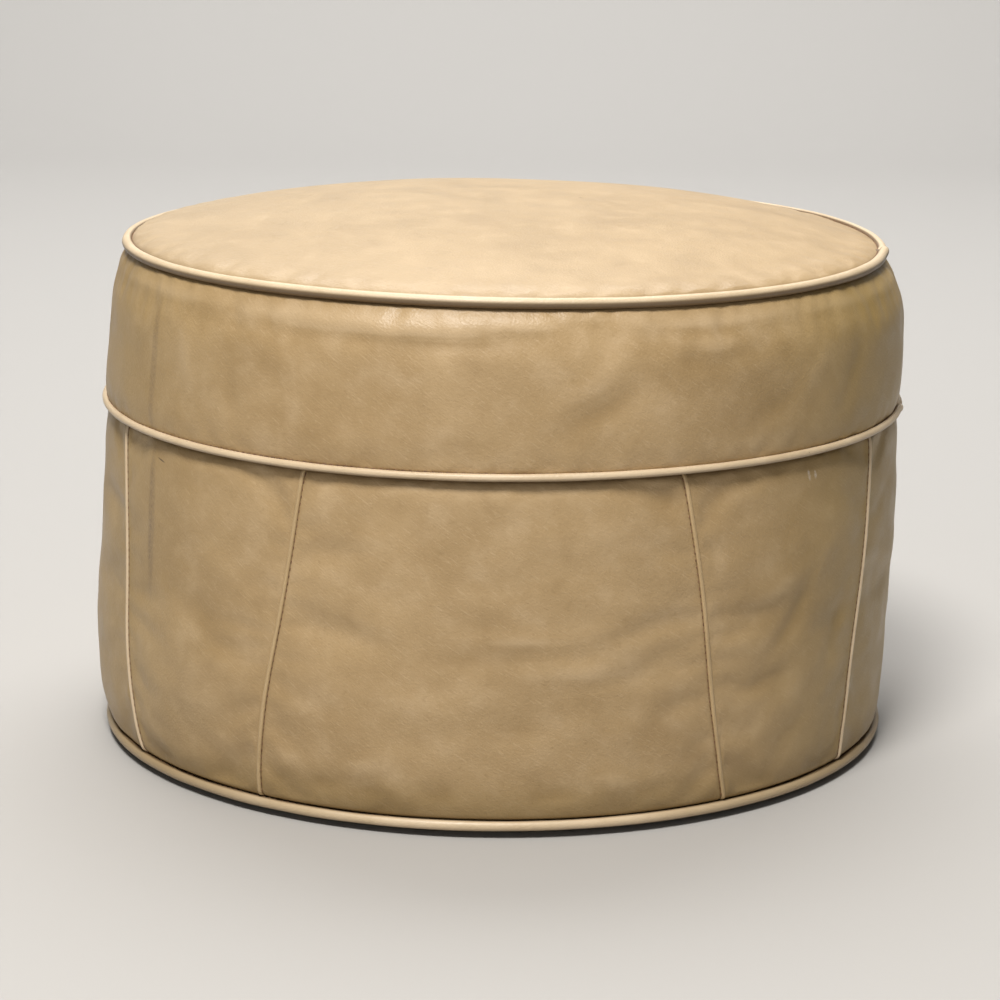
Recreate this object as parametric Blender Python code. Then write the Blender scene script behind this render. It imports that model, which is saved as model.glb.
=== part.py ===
"""Round leather hassock: a piped leather cover over a stuffed sack, on a board with four glides.

Metres, +Z up. The origin is the centre of the circle that the glides stand on.
Azimuth 0 faces -Y, the front, and grows towards +X.
"""

import math

import bmesh
import bpy

# Driving dimensions
HEIGHT = 0.299                # floor to the middle of the crown
TOP_RING = (0.2090, 0.2732)   # radius and height of the centre line of the top welt
MIDDLE_RING = (0.2214, 0.1884)
BOTTOM_RING = (0.2187, 0.0068)
TOP_PIPING = 0.0031           # radius of each welt's round part
MIDDLE_PIPING = 0.0027
BOTTOM_PIPING = 0.0034
WIDE_HALF_TOP = math.radians(25.7)      # half the angle of a wide side panel, at its top
WIDE_HALF_BOTTOM = math.radians(32.5)   # and at its foot
LEATHER = 0.0016              # thickness of the panels
GAP = 0.0003                  # clearance between pieces that touch

# Outer face of the leather, as (radius, height) from the bottom welt to the top one
SIDE_OUTLINE = [(0.2165, 0.0105), (0.2215, 0.026), (0.2245, 0.071), (0.2236, 0.122),
                (0.2221, 0.160), (0.2186, 0.1854)]
BAND_OUTLINE = [(0.2186, 0.1914), (0.2209, 0.201), (0.2206, 0.226), (0.2190, 0.250),
                (0.2085, 0.2698)]
CROWN_RIM = (0.2054, 0.2762)
CROWN_POWER = 2.6             # 2 is a round dome, and a higher power is flatter

# Outer face of the wadding, from the board to the top welt
FILL_OUTLINE = [(0.2100, 0.0174), (0.2195, 0.060), (0.2185, 0.125), (0.2143, 0.1884),
                (0.2160, 0.225), (0.2115, 0.255), (0.1985, 0.2700)]
FILL_CROWN = 0.2945
WADDING = 0.008
SACKING = 0.0012
LAYER_GAP = 0.0006

# Welt strips
STRIP = 0.0009                # leather wrapped round the cord
FLANGE_HALF = 0.0007          # half the thickness of the two sewn layers
SLIT_HALF = 0.0001            # half the space between the two layers
SEAM_ALLOWANCE = 0.0055       # from the centre line to the trimmed edge
TACKED_EDGE = 0.190           # radius that the bottom welt's flange reaches under the board
WELT_OPENING = math.radians(0.25)
TOP_JOINT = math.radians(88)
MIDDLE_JOINT = math.radians(79)
BOTTOM_JOINT = math.radians(150)
SEAM_PIPING = 0.0015
SEAM_SINK = 0.0004

# Base
BOARD_RADIUS = 0.2122
BOARD_FOOT = 0.0071
BOARD_TOP = 0.0166
DUST_RADIUS = 0.2035
DUST_FOOT = 0.0045
DUST_TOP = 0.0051
GLIDE_COUNT = 4
GLIDE_CIRCLE = 0.155
GLIDE_RADIUS = 0.011
GLIDE_FOOT = 0.005            # radius of the flat that touches the floor
GLIDE_NAIL = 0.0013
GLIDE_NAIL_TOP = 0.0136
TACK_COUNT = 12
TACK_CIRCLE = 0.1968
TACK_HEAD = 0.004
TACK_FOOT = 0.0032
TACK_SHANK = 0.0008
TACK_TOP = 0.0132

RING_STEPS = 40
LAYER_STEPS = 28


def clear_scene():
    for item in list(bpy.data.objects):
        bpy.data.objects.remove(item, do_unlink=True)


def make_material(name, color, roughness):
    material = bpy.data.materials.new(name)
    material.use_nodes = True
    shader = material.node_tree.nodes["Principled BSDF"]
    shader.inputs["Base Color"].default_value = (*color, 1.0)
    shader.inputs["Roughness"].default_value = roughness
    return material


def metal_material(name, color, roughness):
    material = make_material(name, color, roughness)
    material.node_tree.nodes["Principled BSDF"].inputs["Metallic"].default_value = 1.0
    return material


def add_object(name, bm, material, smooth_angle=40.0):
    bmesh.ops.recalc_face_normals(bm, faces=bm.faces)
    mesh = bpy.data.meshes.new(name)
    bm.to_mesh(mesh)
    bm.free()
    mesh.materials.append(material)
    mesh.shade_smooth()
    mesh.set_sharp_from_angle(angle=math.radians(smooth_angle))
    item = bpy.data.objects.new(name, mesh)
    bpy.context.scene.collection.objects.link(item)
    return item


def at_azimuth(radius, azimuth, height):
    return (radius * math.sin(azimuth), -radius * math.cos(azimuth), height)


def inset(outline, distance):
    """The outline moved to its left-hand side, the inside of an outline that runs upwards."""
    moved = []
    for index, (radius, height) in enumerate(outline):
        before = outline[max(index - 1, 0)]
        after = outline[min(index + 1, len(outline) - 1)]
        run = (after[0] - before[0], after[1] - before[1])
        length = math.hypot(*run)
        moved.append((max(radius - distance * run[1] / length, 0.0),
                      height + distance * run[0] / length))
    return moved


def crown(rim, peak, steps):
    """From the rim to the axis, over a flat-topped dome."""
    outline = []
    for step in range(steps + 1):
        share = math.cos(0.5 * math.pi * step / steps)
        outline.append((rim[0] * share, rim[1] + (peak - rim[1]) * (1 - share ** CROWN_POWER)))
    return outline[:-1] + [(0.0, peak)]


def revolve(name, outline, steps, material):
    """A closed outline turned about the Z axis. Points on the axis become poles."""
    bm = bmesh.new()
    columns = []
    poles = {}
    for index, (radius, height) in enumerate(outline):
        if radius < 1e-6:
            poles[index] = bm.verts.new((0, 0, height))
    for step in range(steps):
        azimuth = 2 * math.pi * step / steps
        columns.append([poles[index] if index in poles
                        else bm.verts.new(at_azimuth(radius, azimuth, height))
                        for index, (radius, height) in enumerate(outline)])
    count = len(outline)
    for left, right in zip(columns, columns[1:] + columns[:1]):
        for index in range(count):
            after = (index + 1) % count
            corners = [left[index], right[index], right[after], left[after]]
            corners = list(dict.fromkeys(corners))
            if len(corners) > 2:
                bm.faces.new(corners)
    return add_object(name, bm, material)


def skin(name, outer, inner, material):
    """A sheet with a thickness, between two grids of points of the same size."""
    bm = bmesh.new()
    faces = [[[bm.verts.new(point) for point in row] for row in grid] for grid in (outer, inner)]
    rows = len(outer)
    columns = len(outer[0])
    for grid in faces:
        for row in range(rows - 1):
            for column in range(columns - 1):
                bm.faces.new((grid[row][column], grid[row][column + 1],
                              grid[row + 1][column + 1], grid[row + 1][column]))
    border = [(0, column) for column in range(columns)]
    border += [(row, columns - 1) for row in range(1, rows)]
    border += [(rows - 1, column) for column in range(columns - 2, -1, -1)]
    border += [(row, 0) for row in range(rows - 2, 0, -1)]
    for (row, column), (row_2, column_2) in zip(border, border[1:] + border[:1]):
        bm.faces.new((faces[0][row][column], faces[0][row_2][column_2],
                      faces[1][row_2][column_2], faces[1][row][column]))
    return add_object(name, bm, material)


def loft(name, sections, material):
    """Closed sections joined one to the next, with a cap on each end."""
    bm = bmesh.new()
    rings = [[bm.verts.new(point) for point in section] for section in sections]
    count = len(rings[0])
    for ring, following in zip(rings, rings[1:]):
        for index in range(count):
            after = (index + 1) % count
            bm.faces.new((ring[index], ring[after], following[after], following[index]))
    bm.faces.new(rings[0])
    bm.faces.new(rings[-1])
    return add_object(name, bm, material)


def arc(radius, start, end, steps):
    return [(radius * math.cos(math.radians(start + (end - start) * step / steps)),
             radius * math.sin(math.radians(start + (end - start) * step / steps)))
            for step in range(steps + 1)]


def cutter(name, radius, foot, top, place, sides=8):
    bm = bmesh.new()
    bmesh.ops.create_cone(bm, cap_ends=True, segments=sides, radius1=radius, radius2=radius,
                          depth=top - foot)
    mesh = bpy.data.meshes.new(name)
    bm.to_mesh(mesh)
    bm.free()
    item = bpy.data.objects.new(name, mesh)
    item.location = (place[0], place[1], (foot + top) / 2)
    item.hide_render = True
    item.display_type = 'WIRE'
    bpy.context.scene.collection.objects.link(item)
    return item


def cut(target, tool):
    boolean = target.modifiers.new(tool.name, 'BOOLEAN')
    boolean.operation = 'DIFFERENCE'
    boolean.solver = 'EXACT'
    boolean.object = tool


def make_crown_panel(leather):
    outer = crown(CROWN_RIM, HEIGHT, 6)
    inner = inset(outer, LEATHER)
    inner[-1] = (0.0, HEIGHT - LEATHER)
    revolve("top_panel", outer + inner[::-1], RING_STEPS, leather)


def grid_of(outline, azimuths_at):
    return [[at_azimuth(radius, azimuth, height) for azimuth in azimuths_at(radius, height)]
            for radius, height in outline]


def make_band(leather):
    """The band round the top, one strip whose ends meet in a butt seam at the back."""
    outline = BAND_OUTLINE
    half = math.pi - math.radians(0.1)

    def azimuths(radius, height):
        return [half * (2 * step / RING_STEPS - 1) for step in range(RING_STEPS + 1)]

    skin("upper_band", grid_of(outline, azimuths), grid_of(inset(outline, LEATHER), azimuths),
         leather)


def wide_half_angle(height):
    foot = SIDE_OUTLINE[0][1]
    top = SIDE_OUTLINE[-1][1]
    share = (height - foot) / (top - foot)
    return WIDE_HALF_BOTTOM + (WIDE_HALF_TOP - WIDE_HALF_BOTTOM) * share


def make_side_panels(leather):
    """Four wide panels that widen downwards, and four narrow ones between them."""
    outline = SIDE_OUTLINE
    inner = inset(outline, LEATHER)
    clearance = SEAM_PIPING + GAP
    quarter = math.pi / 4
    sides = ("front", "right", "back", "left")
    corners = ("front_right", "back_right", "back_left", "front_left")

    def make_panel(name, centre, half_at, columns):
        def azimuths(radius, height):
            half = half_at(height) - clearance / radius
            return [centre + half * (2 * column / columns - 1) for column in range(columns + 1)]

        skin(name, grid_of(outline, azimuths), grid_of(inner, azimuths), leather)

    for index in range(4):
        make_panel(f"wide_panel_{sides[index]}", 2 * index * quarter, wide_half_angle, 7)
        make_panel(f"narrow_panel_{corners[index]}", (2 * index + 1) * quarter,
                   lambda height: quarter - wide_half_angle(height), 4)


def make_seam_pipings(leather):
    """A thin piping in each of the eight upright seams between the side panels."""
    outline = SIDE_OUTLINE
    for index in range(8):
        side = 1 if index % 2 == 0 else -1
        centre = (index + 1) // 2 * math.pi / 2
        sections = []
        for radius, height in outline:
            azimuth = centre + side * wide_half_angle(height)
            middle = radius - SEAM_SINK
            sections.append([at_azimuth(middle + out, azimuth + along / middle, height)
                             for out, along in arc(SEAM_PIPING, 0, 300, 5)])
        loft(f"seam_piping_{index + 1}", sections, leather)


def swept_ring(name, ring, joint, section, material):
    """A section carried round a ring, from one side of its joint to the other."""
    turn = 2 * math.pi - WELT_OPENING
    sections = []
    for step in range(RING_STEPS + 1):
        azimuth = joint + WELT_OPENING / 2 + turn * step / RING_STEPS
        sections.append([at_azimuth(ring[0] + out, azimuth, ring[1] + up)
                         for out, up in section])
    return loft(name, sections, material)


def make_welt(name, ring, piping, joint, leather, cord, flange_edge=None, flange_drop=0.0):
    """A strip of leather folded round a cord, with its two edges sewn together as a flange."""
    edge = SEAM_ALLOWANCE if flange_edge is None else ring[0] - flange_edge
    hole = piping - STRIP
    outer = arc(piping, 144, -144, 6)
    inner = arc(hole, -144, 144, 4)
    middle = -flange_drop
    section = [(-edge, middle + FLANGE_HALF), (-piping, middle + FLANGE_HALF)]
    section += outer
    section += [(-piping, middle - FLANGE_HALF), (-edge, middle - FLANGE_HALF)]
    section += [(-edge, middle - SLIT_HALF), (-hole, middle - SLIT_HALF)]
    section += inner
    section += [(-hole, middle + SLIT_HALF), (-edge, middle + SLIT_HALF)]
    strip = swept_ring(name, ring, joint, section, leather)
    swept_ring(f"{name}_cord", ring, joint, arc(hole - GAP, 0, 288, 4), cord)
    return strip


def make_filling(wadding, hessian, stuffing):
    side = list(FILL_OUTLINE)
    rim = side[-1]
    side_inner = inset(side, WADDING)
    side_inner[0] = (side_inner[0][0], side[0][1])
    split = len(side) - 1
    revolve("side_wadding", side[:split] + side_inner[:split][::-1], LAYER_STEPS, wadding)

    cover = crown(rim, FILL_CROWN, 4)
    cover_foot = crown((rim[0], rim[1] - WADDING), FILL_CROWN - WADDING, 4)
    revolve("top_wadding", cover + cover_foot[::-1], LAYER_STEPS, wadding)

    sack_out = WADDING + LAYER_GAP
    sack_in = sack_out + SACKING

    def closed_body(depth):
        wall = inset(side, depth)[:split]
        wall[0] = (wall[0][0], side[0][1])
        shoulder = (wall[-1][0] - 0.006, rim[1] - depth - 0.004)
        return wall + crown(shoulder, FILL_CROWN - depth, 4)

    revolve("hessian_sack", closed_body(sack_out) + closed_body(sack_in)[::-1], LAYER_STEPS,
            hessian)
    revolve("stuffing", closed_body(sack_in + LAYER_GAP) + [(0.0, side[0][1])], LAYER_STEPS,
            stuffing)


def around(count, circle, turn=0.0):
    return [at_azimuth(circle, turn + 2 * math.pi * index / count, 0) for index in range(count)]


def make_base(board_wood, cambric, steel, bottom_welt):
    board = revolve("base_board", [(0.0, BOARD_FOOT), (BOARD_RADIUS, BOARD_FOOT),
                                   (BOARD_RADIUS, BOARD_TOP), (0.0, BOARD_TOP)],
                    RING_STEPS, board_wood)
    dust = revolve("dust_cover", [(0.0, DUST_FOOT), (DUST_RADIUS, DUST_FOOT),
                                  (DUST_RADIUS, DUST_TOP), (0.0, DUST_TOP)], RING_STEPS, cambric)

    tack_outline = [(0.0, TACK_FOOT), (TACK_HEAD * 0.8, TACK_FOOT + 0.0002),
                    (TACK_HEAD, DUST_FOOT - GAP), (TACK_SHANK, DUST_FOOT - GAP),
                    (TACK_SHANK, TACK_TOP - 0.002), (0.0, TACK_TOP)]
    for index, place in enumerate(around(TACK_COUNT, TACK_CIRCLE, math.pi / TACK_COUNT), 1):
        tack = revolve(f"tack_{index}", tack_outline, 8, steel)
        tack.location = (place[0], place[1], 0)
        tool = cutter(f"tack_hole_{index}", TACK_SHANK + GAP, 0.0, TACK_TOP + GAP, place)
        for pierced in (board, dust, bottom_welt):
            cut(pierced, tool)

    glide_outline = [(0.0, 0.0), (GLIDE_FOOT, 0.0), (GLIDE_RADIUS * 0.85, 0.0012),
                     (GLIDE_RADIUS, DUST_FOOT - GAP), (GLIDE_NAIL, DUST_FOOT - GAP),
                     (GLIDE_NAIL, GLIDE_NAIL_TOP - 0.002), (0.0, GLIDE_NAIL_TOP)]
    for index, place in enumerate(around(GLIDE_COUNT, GLIDE_CIRCLE, math.pi / GLIDE_COUNT), 1):
        glide = revolve(f"glide_{index}", glide_outline, 12, steel)
        glide.location = (place[0], place[1], 0)
        tool = cutter(f"glide_hole_{index}", GLIDE_NAIL + 2 * GAP, 0.0, GLIDE_NAIL_TOP + GAP,
                      place, 12)
        for pierced in (board, dust):
            cut(pierced, tool)


def main():
    clear_scene()
    leather = make_material("leather", (0.50, 0.36, 0.19), 0.45)
    piping_leather = make_material("piping_leather", (0.66, 0.52, 0.32), 0.4)
    cord = make_material("cotton_cord", (0.70, 0.66, 0.56), 0.9)
    wadding = make_material("wadding", (0.80, 0.78, 0.72), 0.95)
    hessian = make_material("hessian", (0.42, 0.31, 0.18), 0.95)
    stuffing = make_material("stuffing", (0.50, 0.40, 0.22), 0.95)
    board_wood = make_material("board", (0.35, 0.24, 0.13), 0.7)
    cambric = make_material("cambric", (0.03, 0.03, 0.03), 0.9)
    steel = metal_material("steel", (0.55, 0.55, 0.56), 0.35)

    make_crown_panel(leather)
    make_band(leather)
    make_side_panels(leather)
    make_seam_pipings(piping_leather)
    make_welt("top_welt", TOP_RING, TOP_PIPING, TOP_JOINT, piping_leather, cord)
    make_welt("middle_welt", MIDDLE_RING, MIDDLE_PIPING, MIDDLE_JOINT, piping_leather, cord)
    bottom_welt = make_welt("bottom_welt", BOTTOM_RING, BOTTOM_PIPING, BOTTOM_JOINT,
                            piping_leather, cord, TACKED_EDGE, FLANGE_HALF)
    make_filling(wadding, hessian, stuffing)
    make_base(board_wood, cambric, steel, bottom_welt)


main()
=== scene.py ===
# Round leather hassock: leather panels over a stuffed sack, piped with three thick welts
import math

import bmesh
import bpy
import numpy as np
from mathutils import Matrix, Vector, noise


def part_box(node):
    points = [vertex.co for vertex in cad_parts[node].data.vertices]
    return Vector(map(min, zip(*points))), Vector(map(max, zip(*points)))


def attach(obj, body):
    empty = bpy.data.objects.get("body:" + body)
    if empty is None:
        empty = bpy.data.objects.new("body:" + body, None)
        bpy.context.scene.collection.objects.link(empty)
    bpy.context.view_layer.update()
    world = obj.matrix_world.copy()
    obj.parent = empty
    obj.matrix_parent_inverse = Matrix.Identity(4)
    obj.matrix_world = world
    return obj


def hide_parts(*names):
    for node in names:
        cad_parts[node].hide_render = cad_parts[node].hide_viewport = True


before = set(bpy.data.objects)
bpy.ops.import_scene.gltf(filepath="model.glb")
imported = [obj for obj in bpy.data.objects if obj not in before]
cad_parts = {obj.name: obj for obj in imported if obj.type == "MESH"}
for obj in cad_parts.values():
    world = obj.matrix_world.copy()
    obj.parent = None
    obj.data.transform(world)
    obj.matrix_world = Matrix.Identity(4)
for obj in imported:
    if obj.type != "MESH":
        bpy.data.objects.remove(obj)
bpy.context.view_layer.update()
body = "root"


def ringOf(node):
    low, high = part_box(node)
    tube = (high[2] - low[2]) / 2
    return {"radius": (high[0] - low[0]) / 2 - tube, "height": (high[2] + low[2]) / 2, "tube": tube}


topRing = ringOf("top_welt")
middleRing = ringOf("middle_welt")
bottomRing = ringOf("bottom_welt")
# the piped cords are a little slimmer than their CAD parts, and stand out as far:
# share of the tube's radius, and how far the middle line moves out and up
slimming = (
    (topRing, 0.92, 0.00035, 0.0005),
    (middleRing, 0.75, 0.0009, 0.0002),
    (bottomRing, 0.79, 0.0006, -0.0006),
)
for ring, share, out, up in slimming:
    ring["tube"] *= share
    ring["radius"] += out
    ring["height"] += up
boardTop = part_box("base_board")[1][2]
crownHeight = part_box("top_panel")[1][2]

stance = {
    "lean": 0.0047,          # how far the soft body has slumped to the right at the top
    "leanHeight": 0.11,      # the slump comes on within this height
    "topTilt": 0.0070,       # slope of the top ring, down to the right
    "lowSag": -0.0027,       # the side panels belly to the left, most at this height
    "lowSagHeight": 0.062,
    "lowSagSpread": 0.046,
    "bandSag": 0.0021,       # the upper band bellies to the right
    "rearLift": 0.0026,      # the top ring is pushed up at the rear right
    "rearLiftAt": math.radians(125),
    "rearLiftSpread": math.radians(38),
    "ease": (0.02, 0.03),    # the sag fades out over these heights at the foot and the middle welt
}

panelLayout = {
    "halfAtTop": math.radians(25.7),     # half the angle of a wide panel
    "halfAtFoot": math.radians(32.5),
    "seamWidth": 0.0020,                 # room for the piping between two panels
    # how far each seam has been sewn off its place, round the body, at its top and at its foot
    "strayed": [(-0.0041, 0.0038), (-0.0036, 0.0049), (-0.0030, 0.0010), (0.0, 0.0),
                (0.0, 0.0), (-0.0040, -0.0030), (-0.0077, -0.0068), (-0.0048, -0.0027)],
}

# height and radius of the leather, from one welt to the next
outlines = {
    "side": [(0.0090, 0.2168), (0.0101, 0.2187), (0.0134, 0.2202), (0.0270, 0.2218), (0.0450, 0.2229),
             (0.0710, 0.2233), (0.1000, 0.2230), (0.1300, 0.2225), (0.1600, 0.2215), (0.1740, 0.2208),
             (0.1810, 0.2202), (0.1842, 0.2195), (0.1860, 0.2184), (0.1872, 0.2166)],
    "band": [(0.1894, 0.2202), (0.1902, 0.2210), (0.1916, 0.2214), (0.1954, 0.2215), (0.2076, 0.2214),
             (0.2240, 0.2206), (0.2404, 0.2196), (0.2486, 0.2186), (0.2545, 0.2173), (0.2605, 0.2156),
             (0.2661, 0.2133), (0.2697, 0.2106), (0.2711, 0.2082)],
}
flatRadius = {"side": 0.2235, "band": 0.2205}     # the sides are laid out flat at these radii


def smoothStep(share):
    share = np.clip(share, 0.0, 1.0)
    return share * share * (3 - 2 * share)


def around(radius, azimuth, height):
    return np.stack([radius * np.sin(azimuth), -radius * np.cos(azimuth),
                     height + 0 * azimuth], axis=-1)


# soft lean of everything above the board
def settle(points):
    points = np.array(points, dtype=float)
    above = np.clip(points[:, 2] - boardTop, 0, None)
    points[:, 0] += stance["lean"] * (1 - np.exp(-above / stance["leanHeight"]))
    height = points[:, 2].copy()
    span = topRing["height"] - middleRing["height"]
    share = np.clip((height - middleRing["height"]) / span, 0, 1)
    low = np.exp(-((height - stance["lowSagHeight"]) / stance["lowSagSpread"]) ** 2)
    low *= smoothStep((height - bottomRing["height"]) / stance["ease"][0])
    low *= smoothStep((middleRing["height"] - height) / stance["ease"][1])
    points[:, 0] += stance["lowSag"] * low + stance["bandSag"] * np.sin(math.pi * share ** 1.4)
    points[:, 2] -= stance["topTilt"] * smoothStep(share) * points[:, 0]
    turn = np.arctan2(points[:, 0], -points[:, 1]) - stance["rearLiftAt"]
    turn = (turn + math.pi) % (2 * math.pi) - math.pi
    out = np.clip(np.hypot(points[:, 0], points[:, 1]) / 0.2, 0, 1) ** 2
    lift = stance["rearLift"] * np.exp(-(turn / stance["rearLiftSpread"]) ** 2)
    points[:, 2] += lift * smoothStep(share) * out
    return points


def smoothOutline(pairs, perSpan=8):
    ends = [pairs[0]] + list(pairs) + [pairs[-1]]
    curve = []
    for a, b, c, d in zip(ends, ends[1:], ends[2:], ends[3:]):
        for step in range(perSpan):
            t = step / perSpan
            curve.append([0.5 * (2 * q + (r - p) * t + (2 * p - 5 * q + 4 * r - s) * t * t
                                 + (3 * q - p - 3 * r + s) * t ** 3) for p, q, r, s in zip(a, b, c, d)])
    curve.append(list(pairs[-1]))
    return np.array(curve)


def alongCurve(curve, distances):
    steps = np.hypot(*np.diff(curve, axis=0).T)
    walked = np.concatenate([[0], np.cumsum(steps)])
    return np.stack([np.interp(distances, walked, curve[:, k]) for k in range(curve.shape[1])], axis=-1)


def curveLength(curve):
    return float(np.hypot(*np.diff(curve, axis=0).T).sum())


# distances along a piece, close together beside its two seams
def spread(length, step, edge=(0.0, 0.0011, 0.0024, 0.0042, 0.0066)):
    inner = max(int(round((length - 2 * edge[-1]) / step)), 2)
    middle = np.linspace(edge[-1], length - edge[-1], inner + 1)
    return np.concatenate([edge[:-1], middle, length - np.array(edge[:-1])[::-1]])


def meshPiece(name, points, faces, smooth=True):
    mesh = bpy.data.meshes.new(name)
    mesh.from_pydata([tuple(p) for p in points], [], faces)
    mesh.update()
    if smooth:
        mesh.shade_smooth()
    item = bpy.data.objects.new(name, mesh)
    bpy.context.scene.collection.objects.link(item)
    return item


def coordinates(mesh):
    flat = np.empty(len(mesh.vertices) * 3)
    mesh.vertices.foreach_get("co", flat)
    return flat.reshape(-1, 3)


def setCoordinates(mesh, points):
    mesh.vertices.foreach_set("co", np.asarray(points, dtype=np.float32).ravel())
    mesh.update()


def applyModifiers(item):
    graph = bpy.context.evaluated_depsgraph_get()
    mesh = bpy.data.meshes.new_from_object(item.evaluated_get(graph), depsgraph=graph)
    old = item.data
    item.modifiers.clear()
    item.data = mesh
    mesh.name = old.name
    bpy.data.meshes.remove(old)
    return item


def pointValues(item, name, values):
    layer = item.data.attributes.new(name, 'FLOAT', 'POINT')
    layer.data.foreach_set("value", np.asarray(values, dtype=np.float32))


def gridFaces(rows, columns, start=0, closed=False):
    wrap = columns if closed else columns - 1
    return [(start + r * columns + c, start + r * columns + (c + 1) % columns,
             start + (r + 1) * columns + (c + 1) % columns, start + (r + 1) * columns + c)
            for r in range(rows - 1) for c in range(wrap)]


# the faces of a tube of rings, with a flat cap at each end
def tubeFaces(rings, sides):
    last = (rings - 1) * sides
    caps = [tuple(range(sides))[::-1], tuple(last + k for k in range(sides))]
    return gridFaces(rings, sides, 0, closed=True) + caps


def newMaterial(name):
    material = bpy.data.materials.new(name)
    material.use_nodes = True
    tree = material.node_tree
    return material, tree, tree.nodes["Principled BSDF"]


def addNode(tree, kind, **settings):
    node = tree.nodes.new(kind)
    for key, value in settings.items():
        if key in node.inputs:
            node.inputs[key].default_value = value
        else:
            setattr(node, key, value)
    return node


def link(tree, source, target):
    tree.links.new(source, target)


def mathNode(tree, operation, first, second=None, clamp=False):
    node = tree.nodes.new('ShaderNodeMath')
    node.operation = operation
    node.use_clamp = clamp
    for index, value in enumerate((first, second)):
        if value is None:
            continue
        if isinstance(value, (int, float)):
            node.inputs[index].default_value = value
        else:
            tree.links.new(value, node.inputs[index])
    return node.outputs[0]


def rangeNode(tree, value, low, high, toLow=0.0, toHigh=1.0):
    node = tree.nodes.new('ShaderNodeMapRange')
    node.interpolation_type = 'SMOOTHSTEP'
    tree.links.new(value, node.inputs['Value'])
    for key, number in (('From Min', low), ('From Max', high), ('To Min', toLow), ('To Max', toHigh)):
        node.inputs[key].default_value = number
    return node.outputs['Result']


def mixColor(tree, factor, first, second):
    node = tree.nodes.new('ShaderNodeMix')
    node.data_type = 'RGBA'
    sockets = [node.inputs[0], node.inputs[6], node.inputs[7]]     # the factor and the two colours
    for socket, value in zip(sockets, (factor, first, second)):
        if isinstance(value, (int, float)):
            socket.default_value = value
        elif isinstance(value, tuple):
            socket.default_value = (*value, 1.0) if len(value) == 3 else value
        else:
            tree.links.new(value, socket)
    return node.outputs[2]


def noiseOn(tree, place, **settings):
    node = addNode(tree, 'ShaderNodeTexNoise', **settings)
    link(tree, place, node.inputs["Vector"])
    return node.outputs["Fac"]


def pointValue(tree, name):
    return addNode(tree, 'ShaderNodeAttribute', attribute_name=name).outputs["Fac"]


def addBump(tree, shader, height, distance, strength=1.0):
    bump = addNode(tree, 'ShaderNodeBump', Strength=strength, Distance=distance)
    link(tree, height, bump.inputs["Height"])
    link(tree, bump.outputs["Normal"], shader.inputs["Normal"])


def newGroup(name, inputs, outputs):
    group = bpy.data.node_groups.new(name, 'ShaderNodeTree')
    for label, kind, value in inputs:
        socket = group.interface.new_socket(label, in_out='INPUT', socket_type=kind)
        socket.default_value = value
    for label, kind in outputs:
        group.interface.new_socket(label, in_out='OUTPUT', socket_type=kind)
    start = group.nodes.new('NodeGroupInput')
    end = group.nodes.new('NodeGroupOutput')
    return group, start, end


def useGroup(tree, group, **values):
    node = tree.nodes.new('ShaderNodeGroup')
    node.node_tree = group
    for key, value in values.items():
        socket = node.inputs[key]
        if isinstance(value, bpy.types.NodeSocket):
            tree.links.new(value, socket)
        else:
            socket.default_value = (*value, 1.0) if socket.type == 'RGBA' else value
    return node


hideWork = {
    "strokes": ((33, (150, 1500, 1)), (24, (260, 2300, 1))),     # turn and stretch of the fine lines
    "roughness": (0.37, 0.49),
    "poreDepth": 0.7,
    "gritDepth": 0.45,
    "strokeDepth": 0.6,
}


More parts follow.
